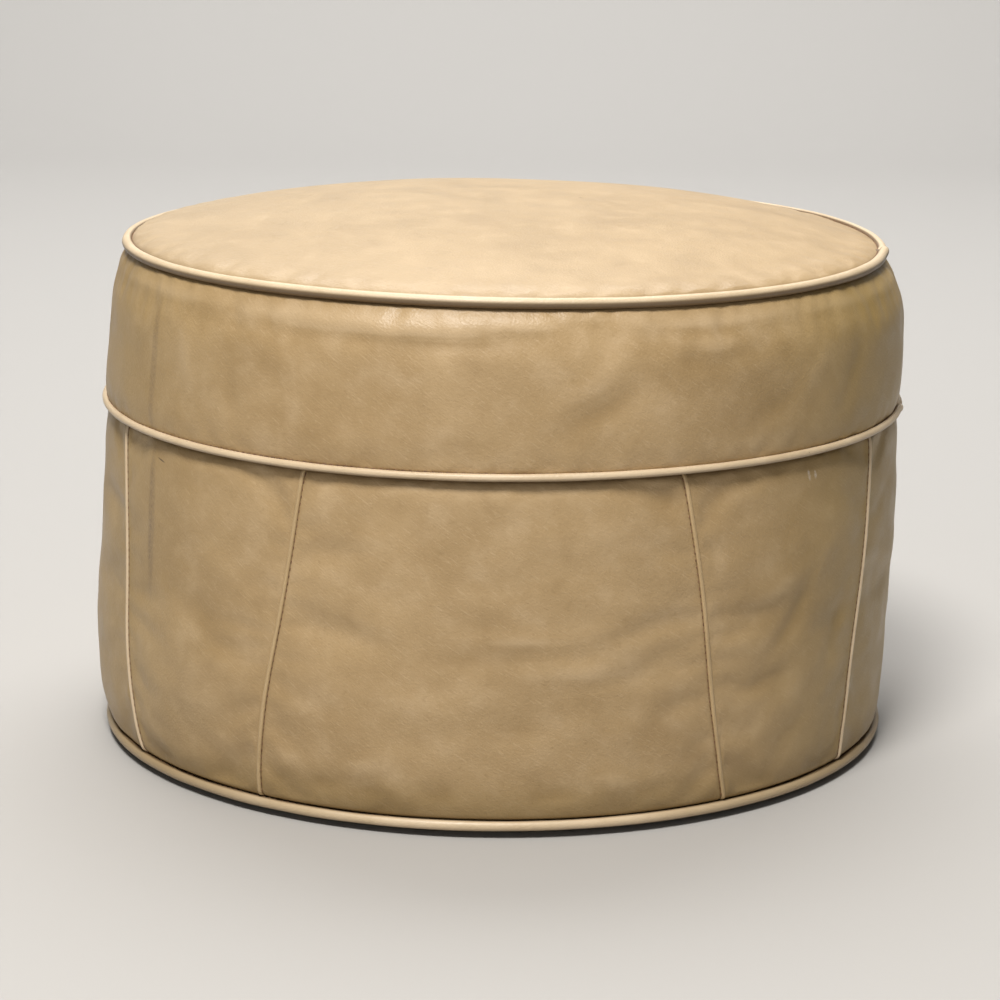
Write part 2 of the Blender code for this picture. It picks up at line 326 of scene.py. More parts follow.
# tone, gloss and height of an aniline hide, on a UV map in metres
def buildHideGroup():
    group, start, end = newGroup(
        "hide",
        [("Vector", 'NodeSocketVector', (0, 0, 0)), ("Base", 'NodeSocketColor', (0.5, 0.36, 0.19, 1)),
         ("Dark", 'NodeSocketColor', (0.3, 0.2, 0.1, 1)), ("Pale", 'NodeSocketColor', (0.7, 0.56, 0.36, 1)),
         ("Mottle", 'NodeSocketFloat', 0.5), ("Hairlines", 'NodeSocketFloat', 0.5)],
        [("Color", 'NodeSocketColor'), ("Roughness", 'NodeSocketFloat'), ("Height", 'NodeSocketFloat')])
    place = start.outputs["Vector"]
    broad = noiseOn(group, place, Scale=13.0, Detail=2.0, Roughness=0.5, Distortion=0.5)
    clouds = noiseOn(group, place, Scale=48.0, Detail=3.0, Roughness=0.55, Distortion=0.2)
    grit = noiseOn(group, place, Scale=230.0, Detail=2.0, Roughness=0.6)
    pores = addNode(group, 'ShaderNodeTexVoronoi', Scale=820.0, Randomness=1.0)
    link(group, place, pores.inputs["Vector"])
    strokes = []
    for turn, stretch in hideWork["strokes"]:
        turned = addNode(group, 'ShaderNodeVectorRotate', rotation_type='Z_AXIS', Angle=math.radians(turn))
        link(group, place, turned.inputs["Vector"])
        scaled = addNode(group, 'ShaderNodeVectorMath', operation='MULTIPLY')
        scaled.inputs[1].default_value = stretch
        link(group, turned.outputs[0], scaled.inputs[0])
        fine = {"Scale": 1.0, "Detail": 1.0, "Roughness": 0.5, "Distortion": 1.1}
        strokes.append(noiseOn(group, scaled.outputs[0], **fine))

    color = start.outputs["Base"]
    for pattern, low, high, share, target in (
            (broad, 0.38, 0.70, 1.0, "Dark"), (clouds, 0.44, 0.80, 1.0, "Pale"),
            (clouds, 0.46, 0.22, 1.0, "Dark"), (grit, 0.42, 0.20, 0.8, "Dark")):
        amount = mathNode(group, 'MULTIPLY', rangeNode(group, pattern, low, high), start.outputs["Mottle"])
        amount = mathNode(group, 'MULTIPLY', amount, share)
        color = mixColor(group, amount, color, start.outputs[target])
    for stroke, target in zip(strokes, ("Pale", "Dark")):
        lines = mathNode(group, 'MULTIPLY', rangeNode(group, stroke, 0.59, 0.72), start.outputs["Hairlines"])
        color = mixColor(group, lines, color, start.outputs[target])
    link(group, color, end.inputs["Color"])
    link(group, rangeNode(group, clouds, 0.3, 0.7, *hideWork["roughness"]), end.inputs["Roughness"])
    height = mathNode(group, 'MULTIPLY', pores.outputs["Distance"], hideWork["poreDepth"])
    for pattern, depth in ((grit, hideWork["gritDepth"]), (strokes[0], hideWork["strokeDepth"])):
        height = mathNode(group, 'ADD', height, mathNode(group, 'MULTIPLY', pattern, depth))
    link(group, height, end.inputs["Height"])
    return group


# a soft-edged mark at a place on the UV map, broken up along its length
def buildMarkGroup():
    group, start, end = newGroup(
        "mark",
        [("Vector", 'NodeSocketVector', (0, 0, 0)), ("Centre", 'NodeSocketVector', (0, 0, 0)),
         ("Turn", 'NodeSocketFloat', 0.0), ("Length", 'NodeSocketFloat', 0.02),
         ("Width", 'NodeSocketFloat', 0.002), ("Broken", 'NodeSocketFloat', 0.5)],
        [("Mask", 'NodeSocketFloat')])
    offset = addNode(group, 'ShaderNodeVectorMath', operation='SUBTRACT')
    link(group, start.outputs["Vector"], offset.inputs[0])
    link(group, start.outputs["Centre"], offset.inputs[1])
    turned = addNode(group, 'ShaderNodeVectorRotate', rotation_type='Z_AXIS')
    link(group, offset.outputs[0], turned.inputs["Vector"])
    link(group, start.outputs["Turn"], turned.inputs["Angle"])
    parts = group.nodes.new('ShaderNodeSeparateXYZ')
    link(group, turned.outputs[0], parts.inputs[0])
    shares = []
    for axis, size in (("X", "Length"), ("Y", "Width")):
        share = mathNode(group, 'DIVIDE', parts.outputs[axis], start.outputs[size])
        shares.append(mathNode(group, 'MULTIPLY', share, share))
    distance = mathNode(group, 'ADD', shares[0], shares[1])
    mask = rangeNode(group, distance, 1.0, 0.1)
    rub = noiseOn(group, start.outputs["Vector"], Scale=420.0, Detail=3.0, Roughness=0.6)
    gaps = rangeNode(group, rub, 0.40, 0.58)
    keep = mathNode(group, 'SUBTRACT', 1.0, mathNode(group, 'MULTIPLY', gaps, start.outputs["Broken"]))
    link(group, mathNode(group, 'MULTIPLY', mask, keep, clamp=True), end.inputs["Mask"])
    return group


hideGroup = buildHideGroup()
markGroup = buildMarkGroup()

leatherLook = {
    "base": (0.448, 0.311, 0.160),
    "dark": (0.305, 0.198, 0.086),
    "pale": (0.615, 0.460, 0.284),
    # the colours of painted side shade, of a painted sheen on the top, and of painted shade with some grime
    # in crevices and under the welts
    "paintedShade": (0.276, 0.187, 0.025),
    "paintedSheen": (0.472, 0.378, 0.262),
    "grimeAndShade": (0.110, 0.062, 0.022),
    "mottle": 0.37,
    "hairlines": 0.27,
    "bump": 0.00014,
    "specular": 0.37,
}
weltLook = {
    "base": (0.655, 0.515, 0.345),
    "dark": (0.480, 0.360, 0.210),
    "pale": (0.735, 0.610, 0.440),
    # painted shade with some grime for the tubes' undersides and inner faces, painted side shade for the
    # bottom welt, and how strong the first is
    "grimeAndShade": (0.110, 0.062, 0.022),
    "paintedShade": (0.300, 0.215, 0.110),
    "dirtAndShade": 0.93,
    "mottle": 0.35,
    "hairlines": 0.16,
    "bump": 0.00012,
    "specular": 0.5,
}
seamLook = {
    **weltLook,
    "base": (0.520, 0.372, 0.195),
    "dark": (0.360, 0.245, 0.115),
    "pale": (0.660, 0.505, 0.300),
    # weaker painted shade on the pipings' flanks
    "dirtAndShade": 0.55,
}
# scuffs: x round from the front and height on the flattened sides (the top lies 2 m above them),
# turn (degrees), half length, half width, how broken up, ink and amount
marks = [
    ((-0.2165, 0.2250), -90, 0.046, 0.0040, 0.45, "dark", 0.32),
    ((-0.2170, 0.1420), -91, 0.048, 0.0046, 0.45, "dark", 0.38),
    ((-0.2180, 0.1500), -91, 0.042, 0.0018, 0.80, "dark", 0.26),
    ((-0.2094, 0.1767), 12, 0.0048, 0.0005, 0.20, "black", 0.80),
    ((0.1790, 0.1775), 80, 0.0036, 0.0012, 0.60, "white", 0.60),
    ((0.1840, 0.1770), 80, 0.0030, 0.0012, 0.60, "white", 0.55),
    ((0.0420, 2.0050), 20, 0.0014, 0.0010, 0.20, "black", 0.80),
]
inks = {"dark": (0.150, 0.100, 0.060), "black": (0.05, 0.03, 0.02), "white": (0.75, 0.72, 0.68)}


# the node group, with a look's own values, and the colour that it gives
def startHide(tree, look):
    uv = addNode(tree, 'ShaderNodeUVMap', uv_map="flat").outputs[0]
    hide = useGroup(tree, hideGroup, Vector=uv, Base=look["base"], Dark=look["dark"], Pale=look["pale"],
                    Mottle=look["mottle"], Hairlines=look["hairlines"])
    return uv, hide, hide.outputs["Color"]


def finishHide(tree, shader, hide, color, look):
    link(tree, color, shader.inputs["Base Color"])
    link(tree, hide.outputs["Roughness"], shader.inputs["Roughness"])
    addBump(tree, shader, hide.outputs["Height"], look["bump"])
    shader.inputs["Specular IOR Level"].default_value = look["specular"]


def buildLeather():
    material, tree, shader = newMaterial("tanLeather")
    uv, hide, color = startHide(tree, leatherLook)
    hollow, tone, seam = (pointValue(tree, name) for name in ("hollow", "tone", "seam"))
    # painted shade and light: darker in dents and folds, paler on raised lumps (part rub, part painted
    # highlight), darker and more olive painted shade on the sides and low down, a paler painted sheen on the
    # top, and painted shade with some grime beside seams and under the welts
    for value, low, high, share, paint in (
            (hollow, 0.1, 1.0, 0.45, "dark"), (hollow, -0.1, -1.0, 0.40, "pale"),
            (tone, 0.0, -1.0, 0.42, "paintedShade"), (tone, 0.0, 1.0, 0.55, "paintedSheen"),
            (seam, 0.12, 1.0, 0.60, "grimeAndShade")):
        color = mixColor(tree, rangeNode(tree, value, low, high, 0.0, share), color, leatherLook[paint])
    for place, turn, length, width, broken, ink, amount in marks:
        mark = useGroup(tree, markGroup, Vector=uv, Centre=(*place, 0), Turn=math.radians(turn),
                        Length=length, Width=width, Broken=broken)
        color = mixColor(tree, mathNode(tree, 'MULTIPLY', mark.outputs["Mask"], amount), color, inks[ink])
    finishHide(tree, shader, hide, color, leatherLook)
    return material


def buildPipingLeather(name, look):
    material, tree, shader = newMaterial(name)
    uv, hide, color = startHide(tree, look)
    nicks = noiseOn(tree, uv, Scale=260.0, Detail=3.0, Roughness=0.65)
    # painted shade: the bottom welt darker and more olive away from the front, and the tubes' undersides and
    # inner faces and the pipings' flanks darkened, with some grime; grime in small nicks
    for value, low, high, share, paint in (
            (pointValue(tree, "tone"), 0.0, -1.0, 0.80, "paintedShade"),
            (pointValue(tree, "seam"), 0.1, 1.0, look["dirtAndShade"], "grimeAndShade"),
            (nicks, 0.70, 0.78, 0.55, "grimeAndShade")):
        color = mixColor(tree, rangeNode(tree, value, low, high, 0.0, share), color, look[paint])
    finishHide(tree, shader, hide, color, look)
    return material


# two colours, scale of the weave, roughness, depth of the weave and fuzz
cloths = {
    "cottonCord": ((0.58, 0.53, 0.43), (0.78, 0.74, 0.64), 45.0, 0.9, 0.0003, 0.0),
    "cottonFelt": ((0.66, 0.63, 0.56), (0.84, 0.82, 0.77), 4.5, 0.95, 0.0012, 0.5),
    "hessian": ((0.24, 0.165, 0.09), (0.52, 0.40, 0.24), 26.0, 0.92, 0.0006, 0.0),
    "packedFibre": ((0.30, 0.22, 0.11), (0.62, 0.51, 0.31), 7.0, 0.95, 0.002, 0.0),
    "blackCambric": ((0.010, 0.010, 0.011), (0.035, 0.034, 0.036), 70.0, 0.85, 0.0001, 0.2),
}


# plain-woven or felted cloth, on object coordinates
def buildCloth(name):
    shade, light, threads, roughness, depth, fuzz = cloths[name]
    material, tree, shader = newMaterial(name)
    place = addNode(tree, 'ShaderNodeTexCoord').outputs["Object"]
    waves = []
    for axis in ('X', 'Y'):
        wave = addNode(tree, 'ShaderNodeTexWave', wave_type='BANDS', bands_direction=axis,
                       Scale=threads, Distortion=0.6, Detail=1.0)
        link(tree, place, wave.inputs["Vector"])
        waves.append(wave.outputs["Fac"])
    weave = mathNode(tree, 'MAXIMUM', waves[0], waves[1])
    slub = noiseOn(tree, place, Scale=90.0, Detail=4.0, Roughness=0.6)
    blend = mathNode(tree, 'ADD', mathNode(tree, 'MULTIPLY', weave, 0.5),
                     mathNode(tree, 'MULTIPLY', slub, 0.7), clamp=True)
    link(tree, mixColor(tree, blend, shade, light), shader.inputs["Base Color"])
    addBump(tree, shader, blend, depth, strength=0.8)
    shader.inputs["Roughness"].default_value = roughness
    shader.inputs["Sheen Weight"].default_value = fuzz
    return material


def buildSteel():
    material, tree, shader = newMaterial("nickelSteel")
    place = addNode(tree, 'ShaderNodeTexCoord').outputs["Object"]
    rub = noiseOn(tree, place, Scale=240.0, Detail=4.0, Roughness=0.6)
    wearAndShade = rangeNode(tree, rub, 0.35, 0.7)
    link(tree, mixColor(tree, wearAndShade, (0.62, 0.61, 0.58), (0.40, 0.37, 0.33)), shader.inputs["Base Color"])
    link(tree, rangeNode(tree, rub, 0.3, 0.7, 0.25, 0.48), shader.inputs["Roughness"])
    shader.inputs["Metallic"].default_value = 1.0
    return material


def buildBoard():
    material, tree, shader = newMaterial("plywood")
    place = addNode(tree, 'ShaderNodeTexCoord').outputs["Object"]
    stretched = addNode(tree, 'ShaderNodeMapping', Scale=(6, 70, 300))
    link(tree, place, stretched.inputs["Vector"])
    rings = noiseOn(tree, stretched.outputs["Vector"], Scale=1.0, Detail=5.0, Roughness=0.6, Distortion=1.2)
    grain = rangeNode(tree, rings, 0.35, 0.65)
    link(tree, mixColor(tree, grain, (0.46, 0.31, 0.17), (0.27, 0.165, 0.08)), shader.inputs["Base Color"])
    addBump(tree, shader, rings, 0.0002, strength=0.4)
    shader.inputs["Roughness"].default_value = 0.68
    return material


def buildThread():
    material, tree, shader = newMaterial("waxedThread")
    place = addNode(tree, 'ShaderNodeTexCoord').outputs["Object"]
    dirtAndShade = rangeNode(tree, noiseOn(tree, place, Scale=900.0, Detail=2.0), 0.35, 0.65)
    link(tree, mixColor(tree, dirtAndShade, (0.13, 0.058, 0.030), (0.24, 0.125, 0.068)), shader.inputs["Base Color"])
    shader.inputs["Roughness"].default_value = 0.6
    return material


leather = buildLeather()
weltLeather = buildPipingLeather("weltLeather", weltLook)
seamLeather = buildPipingLeather("seamLeather", seamLook)
threadMaterial = buildThread()
cordMaterial = buildCloth("cottonCord")
waddingMaterial = buildCloth("cottonFelt")
hessianMaterial = buildCloth("hessian")
stuffingMaterial = buildCloth("packedFibre")
cambricMaterial = buildCloth("blackCambric")
steelMaterial = buildSteel()
boardMaterial = buildBoard()
print("materials built")


skinWork = {
    "thickness": 0.0014,
    "step": 0.0046,          # mesh spacing of the simulated leather
    "inset": 0.0008,         # the start shape is smaller, because the leather swells
    "tuck": 0.0006,          # how deep a panel's edge turns in at an upright seam
    "tuckReach": 0.0012,
    "frames": 20,
    "cap": 0.0022,           # furthest that a point of the sides may move
    "topCap": 0.0014,
    "held": 0.0013,          # the leather is held fast this close to a seam
    "eased": 0.0030,         # and may give a little up to here
    "free": 0.012,           # folds and lumps are full beyond this distance from a seam
    "insetFrom": 0.008,
}
clothWork = {
    "quality": 6,
    "mass": 0.25,
    "tension_stiffness": 30,
    "compression_stiffness": 30,
    "shear_stiffness": 12,
    "bending_stiffness": 1.2,
    "pin_stiffness": 1.0,
    "use_pressure": True,
}


# blows the leather out between its seams, which are pinned, and keeps the result
def puffUp(item, near, pressure, slack, cap):
    pinned = np.where(near < skinWork["held"], 1.0, np.where(near < skinWork["eased"], 0.25, 0.012))
    scene = bpy.context.scene
    startPlaces = coordinates(item.data)
    group = item.vertex_groups.new(name="pinned")
    for value in np.unique(pinned):
        group.add([int(i) for i in np.flatnonzero(pinned == value)], float(value), 'REPLACE')
    cloth = item.modifiers.new("cloth", 'CLOTH')
    settings = cloth.settings
    for key, value in clothWork.items():
        setattr(settings, key, value)
    settings.vertex_group_mass = "pinned"
    settings.uniform_pressure_force = pressure
    settings.shrink_min = -slack
    settings.effector_weights.gravity = 0
    cloth.point_cache.frame_start = 1
    cloth.point_cache.frame_end = skinWork["frames"]
    for number in range(1, skinWork["frames"] + 1):
        scene.frame_set(number)
    graph = bpy.context.evaluated_depsgraph_get()
    moved = coordinates(item.evaluated_get(graph).data)
    move = moved - startPlaces
    size = np.linalg.norm(move, axis=1)
    print(f"  {item.name}: moved {size.mean() * 1000:.2f} mm on average, {size.max() * 1000:.2f} at most")
    reach = cap * np.tanh(size / cap)
    move *= (reach / np.maximum(size, 1e-9))[:, None]
    item.modifiers.remove(cloth)
    item.vertex_groups.clear()
    scene.frame_set(1)
    setCoordinates(item.data, startPlaces + move)


# soft unevenness of the stuffing, about -1 to 1
def lumps(points, size, flatten, seed):
    values = []
    for x, y, z in points:
        place = Vector((x / size + seed, y / size, z / size * flatten))
        values.append(noise.noise(place) + 0.45 * noise.noise(place * 2.3 + Vector((7, 3, 1))))
    return np.array(values)


# height of soft folds and dimples laid on the flattened leather
def creases(flat, entries):
    total = np.zeros(len(flat))
    for x, y, turn, length, width, amount in entries:
        angle = math.radians(turn)
        along = (flat[:, 0] - x) * math.cos(angle) + (flat[:, 1] - y) * math.sin(angle)
        across = (flat[:, 1] - y) * math.cos(angle) - (flat[:, 0] - x) * math.sin(angle)
        across = across + 0.15 * width * np.sin(along / length * 5)
        total += amount * np.exp(-(along / length) ** 2 - (across / width) ** 2)
    return total


# x round from the front and height, turn (degrees), length, width and height of each fold
sideFolds = [
    (0.020, 0.1050, 4, 0.040, 0.0040, 0.0008), (0.034, 0.0960, -3, 0.046, 0.0042, -0.0008),
    (0.046, 0.0880, 2, 0.036, 0.0044, 0.0007), (-0.012, 0.1140, -5, 0.030, 0.0050, -0.0005),
    (0.012, 0.0600, 5, 0.050, 0.0060, -0.0005), (-0.050, 0.0720, -8, 0.034, 0.0060, 0.0005),
    (-0.070, 0.0350, 12, 0.016, 0.0045, 0.0009), (-0.100, 0.0345, -4, 0.012, 0.0040, 0.0007),
    (-0.088, 0.0230, 8, 0.010, 0.0034, -0.0010), (-0.060, 0.0220, -6, 0.012, 0.0030, -0.0009),
    (-0.030, 0.0240, 4, 0.010, 0.0036, -0.0008), (0.004, 0.0210, -3, 0.012, 0.0034, -0.0008),
    (0.036, 0.0240, 6, 0.014, 0.0036, -0.0010), (0.062, 0.0300, -10, 0.012, 0.0040, 0.0008),
    (0.082, 0.0220, 5, 0.010, 0.0032, -0.0010), (0.110, 0.0350, 24, 0.016, 0.0044, -0.0008),
    (-0.166, 0.0980, -28, 0.026, 0.0080, -0.0008), (-0.150, 0.1240, -20, 0.024, 0.0080, 0.0006),
    (-0.176, 0.0560, -10, 0.026, 0.0070, 0.0007), (-0.160, 0.0330, -6, 0.022, 0.0050, -0.0007),
    (0.178, 0.1130, 52, 0.018, 0.0040, -0.0013), (0.186, 0.1200, 56, 0.014, 0.0034, 0.0011),
    (0.166, 0.0960, 42, 0.020, 0.0048, -0.0010), (0.150, 0.1160, 20, 0.022, 0.0050, 0.0008),
    (0.140, 0.1010, 6, 0.020, 0.0050, -0.0008), (0.152, 0.0700, 16, 0.016, 0.0040, -0.0008),
    (0.168, 0.0560, 34, 0.024, 0.0060, 0.0008), (0.176, 0.0410, 30, 0.018, 0.0050, -0.0009),
    (0.212, 0.0900, 62, 0.020, 0.0050, -0.0008), (0.226, 0.1060, 64, 0.020, 0.0060, 0.0007),
    (-0.226, 0.0880, 80, 0.030, 0.0060, -0.0006), (0.030, 0.1560, -6, 0.040, 0.0070, 0.0004),
]
bandFolds = [
    (0.034, 0.2280, 33, 0.030, 0.0060, 0.0007), (0.046, 0.2200, 33, 0.030, 0.0060, -0.0008),
    (0.088, 0.2470, -14, 0.020, 0.0036, -0.0008), (0.122, 0.2450, 12, 0.018, 0.0036, -0.0007),
    (0.104, 0.2520, 3, 0.024, 0.0044, 0.0007), (-0.052, 0.2250, 20, 0.034, 0.0080, 0.0005),
    (-0.080, 0.2110, 24, 0.026, 0.0070, -0.0006), (-0.120, 0.2380, -24, 0.022, 0.0070, 0.0006),
    (-0.150, 0.2200, -60, 0.022, 0.0060, -0.0007), (-0.186, 0.2350, -70, 0.022, 0.0050, 0.0006),
    (0.150, 0.2180, 30, 0.026, 0.0060, -0.0006), (0.176, 0.2320, 40, 0.022, 0.0050, 0.0006),
    (0.210, 0.2260, 60, 0.024, 0.0060, -0.0007), (-0.016, 0.2040, 12, 0.030, 0.0050, -0.0004),
]
# the roll under the top welt: x round from the front, height of its lower edge, how far it stands out
roll = [(-0.45, 0.2600, 0.0005), (-0.22, 0.2610, 0.0007), (-0.16, 0.2590, 0.0008), (-0.10, 0.2580, 0.0012),
        (-0.06, 0.2562, 0.0019), (-0.02, 0.2580, 0.0020), (0.02, 0.2620, 0.0015), (0.045, 0.2650, 0.0011),
        (0.08, 0.2620, 0.0010), (0.12, 0.2600, 0.0011), (0.17, 0.2630, 0.0008), (0.24, 0.2600, 0.0007),
        (0.45, 0.2600, 0.0005)]


def rollUnderWelt(flat):
    places, heights, sizes = (np.array(column) for column in zip(*roll))
    edge = np.interp(flat[:, 0], places, heights)
    size = np.interp(flat[:, 0], places, sizes)
    wobble = np.array([noise.noise(Vector((x * 45, 3, 8))) for x in flat[:, 0]])
    rise = (flat[:, 1] - edge - 0.0012 * wobble) / 0.0042
    return size * (smoothStep(rise + 0.5) - 0.35 * np.exp(-((rise + 1.0) / 0.7) ** 2))


def leanOver(item):
    setCoordinates(item.data, settle(coordinates(item.data)))


def pushOut(item, amounts, directions):
    setCoordinates(item.data, coordinates(item.data) + directions * amounts[:, None])


# a UV map in metres, from one place per vertex
def uvFromPoints(item, flat):
    mesh = item.data
    layer = mesh.uv_layers.new(name="flat")
    index = np.empty(len(mesh.loops), dtype=np.int32)
    mesh.loops.foreach_get("vertex_index", index)
    layer.data.foreach_set("uv", np.asarray(flat, dtype=np.float32)[index].ravel())


# gives the leather its thickness, smooths it and hands it to the frame
def finishSkin(item, material, slot, *replaced):
    leanOver(item)
    smooth = item.modifiers.new("smooth", 'SUBSURF')
    smooth.levels = 1
    smooth.render_levels = 1
    smooth.uv_smooth = 'NONE'
    wall = item.modifiers.new("wall", 'SOLIDIFY')
    wall.thickness = skinWork["thickness"]
    wall.offset = -1
    applyModifiers(item)
    item.data.materials.clear()
    item.data.materials.append(material)
    item.data.shade_smooth()
    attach(item, body)
    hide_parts(*replaced)
    return item


# painted shade: the sides are darker and more olive than the front, the left one, turned towards the key
# light, less
def paintedSideShade(azimuth):
    away = np.degrees(np.abs(azimuth))
    paintedShade = np.exp(-((away - 70) / 30) ** 2)
    return -paintedShade * np.where(azimuth < 0, 0.5, 1.0)


def outward(points):
    flat = points * np.array([1, 1, 0])
    return flat / np.maximum(np.linalg.norm(flat, axis=1), 1e-9)[:, None]


# seams are numbered to the right from the right edge of the front panel
def seamAzimuth(index, height):
    foot, top = outlines["side"][0][0], outlines["side"][-1][0]
    share = (height - foot) / (top - foot)
    half = panelLayout["halfAtFoot"] + (panelLayout["halfAtTop"] - panelLayout["halfAtFoot"]) * share
    side = 1 if index % 2 == 0 else -1
    atTop, atFoot = panelLayout["strayed"][index]
    strayed = (atFoot + (atTop - atFoot) * share) / flatRadius["side"]
    return (index + 1) // 2 * math.pi / 2 + side * half + strayed


def makeSidePanels():
    curve = smoothOutline(outlines["side"])
    rows = spread(curveLength(curve), skinWork["step"])
    profile = alongCurve(curve, rows)
    names = [f"wide_panel_{side}" for side in ("front", "right", "back", "left")]
    names += [f"narrow_panel_{side}" for side in ("front_right", "back_right", "back_left", "front_left")]
    points, faces, flat, place, edge, dark, ranges = [], [], [], [], [], [], []
    for index, name in enumerate(names):
        leftSeam = (2 * index - 1) % 8 if index < 4 else 2 * (index - 4)
        rightSeam = (leftSeam + 1) % 8
        turns = 2 * math.pi if leftSeam > 4 else 0
        leftMean = seamAzimuth(leftSeam, 0.1) - turns
        rightMean = seamAzimuth(rightSeam, 0.1) - (turns if rightSeam > 4 else 0)
        width = (rightMean - leftMean) * flatRadius["side"] - panelLayout["seamWidth"]
        across = spread(width, skinWork["step"]) / width
        start = len(points)
        for (height, radius), row in zip(profile, rows):
            gap = panelLayout["seamWidth"] / 2 / radius
            left = seamAzimuth(leftSeam, height) - turns + gap
            right = seamAzimuth(rightSeam, height) - (turns if rightSeam > 4 else 0) - gap
            azimuth = left + (right - left) * across
            fromEdge = np.minimum(across, 1 - across) * (right - left) * radius
            # the stitched side of a seam is the one towards the front
            stitched = np.abs(azimuth) > abs(leftMean + rightMean) / 2 - 1e-6
            tuck = skinWork["tuck"] * np.where(stitched, 1.0, 0.1)
            inward = tuck * np.exp(-(fromEdge / skinWork["tuckReach"]) ** 2)
            near = np.minimum(fromEdge, min(row, rows[-1] - row))
            inward = inward + skinWork["inset"] * smoothStep(near / skinWork["insetFrom"])
            points.extend(around(radius - inward, azimuth, height))
            walked = azimuth * flatRadius["side"]
            flat.extend(np.stack([walked, 0 * azimuth + height], axis=-1))
            place.extend(np.stack([walked, 0 * azimuth + row + profile[0][0]], axis=-1))
            edge.extend(fromEdge)
            # painted shade, with some grime, in the ditch beside a seam: strongest on the stitched side and
            # towards the foot
            grimeAndShade = 0.55 + 0.45 * (1 - row / rows[-1])
            dark.extend(np.exp(-fromEdge / 0.0012) * np.where(stitched, grimeAndShade, 0.20))
        columns = len(across)
        faces += gridFaces(len(profile), columns, start)
        ranges.append((name, start, len(points), columns))
    points, flat, edge, dark = np.array(points), np.array(flat), np.array(edge), np.array(dark)
    item = meshPiece("sideLeather", points, faces)
    foot, top = profile[0][0], profile[-1][0]
    fromWelt = np.minimum(points[:, 2] - foot, top - points[:, 2])
    near = np.minimum(edge, fromWelt)
    puffUp(item, near, 2.2, 0.012, skinWork["cap"])
    free = smoothStep(near / skinWork["free"])
    wide = lumps(points, 0.036, 1.7, 3.1)
    small = lumps(points, 0.013, 1.2, 9.4)
    low = np.exp(-((points[:, 2] - 0.024) / 0.013) ** 2)
    amount = 0.00070 * wide + small * (0.00016 + 0.00045 * low) + creases(flat, sideFolds)
    pushOut(item, amount * free, outward(points))
    shape = coordinates(item.data)
    # painted shade in the dents and folds; paler raised lumps, part rub and part painted highlight
    hollow = np.clip(-(amount / 0.0012), -1, 1) * free
    # painted shade along the foot beside the bottom welt, softly over the lowest few centimetres, and under
    # the middle welt
    dark = np.maximum(dark, np.exp(-(points[:, 2] - foot) / 0.0018))
    dark = np.maximum(dark, 0.56 * np.exp(-((points[:, 2] - foot) / 0.017) ** 2))
    dark = np.maximum(dark, np.exp(-((top - points[:, 2]) / 0.0042) ** 2))
    bpy.data.objects.remove(item)
    # painted shade: darker and more olive low down towards the floor, and on the sides
    footShade = 0.6 * np.exp(-((points[:, 2] - foot) / 0.022) ** 2)
    wearAndShade = np.minimum(paintedSideShade(flat[:, 0] / flatRadius["side"]), -footShade)
    for name, start, stop, columns in ranges:
        piece = meshPiece(f"{name}_leather", shape[start:stop], gridFaces(len(profile), columns))
        uvFromPoints(piece, place[start:stop])
        pointValues(piece, "hollow", hollow[start:stop])
        pointValues(piece, "seam", dark[start:stop])
        pointValues(piece, "tone", wearAndShade[start:stop])
        finishSkin(piece, leather, "leather", name)
    print("side panels made")


def makeBand():
    curve = smoothOutline(outlines["band"])
    rows = spread(curveLength(curve), skinWork["step"])
    profile = alongCurve(curve, rows)
    length = 2 * math.pi * flatRadius["band"]
    across = spread(length, skinWork["step"]) / length
    half = math.pi - 0.0004
    points, flat, place, edge = [], [], [], []
    for (height, radius), row in zip(profile, rows):
        azimuth = half * (2 * across - 1)
        fromEdge = np.minimum(across, 1 - across) * length
        fromWelt = min(row, rows[-1] - row)
        inward = 0.0012 * np.exp(-(fromEdge / 0.0016) ** 2)
        inward = inward + skinWork["inset"] * smoothStep(fromWelt / skinWork["insetFrom"])
        points.extend(around(radius - inward, azimuth, height))
        walked = azimuth * flatRadius["band"]
        flat.extend(np.stack([walked, 0 * azimuth + height], axis=-1))
        place.extend(np.stack([walked, 0 * azimuth + row + profile[0][0]], axis=-1))
        edge.extend(fromEdge)
    points, flat, edge = np.array(points), np.array(flat), np.array(edge)
    columns = len(across)
    item = meshPiece("upperBandLeather", points, gridFaces(len(profile), columns))
    along = np.repeat(np.minimum(rows, rows[-1] - rows), columns)
    near = np.minimum(edge, along)
    puffUp(item, near, 2.2, 0.012, skinWork["cap"])
    free = smoothStep(near / skinWork["free"])
    wide = lumps(points, 0.040, 1.3, 5.7)
    small = lumps(points, 0.014, 1.2, 1.9)
    amount = 0.0006 * wide + 0.00014 * small + creases(flat, bandFolds) + rollUnderWelt(flat)
    pushOut(item, amount * free, outward(points))
    uvFromPoints(item, place)
    # painted shade in the dents and folds; paler raised lumps and roll, part rub and part painted highlight
    pointValues(item, "hollow", np.clip(-amount / 0.0011, -1, 1) * free)
    # painted shade under the top welt and, weaker, along the band's edges
    fromTop = np.repeat(rows[-1] - rows, columns)
    dark = np.maximum(np.exp(-(fromTop / 0.0030) ** 2), 0.30 * np.exp(-near / 0.0012))
    pointValues(item, "seam", dark)
    # painted shade: the band darker and more olive towards the sides
    pointValues(item, "tone", paintedSideShade(flat[:, 0] / flatRadius["band"]))
    finishSkin(item, leather, "leather", "upper_band")
    print("band made")


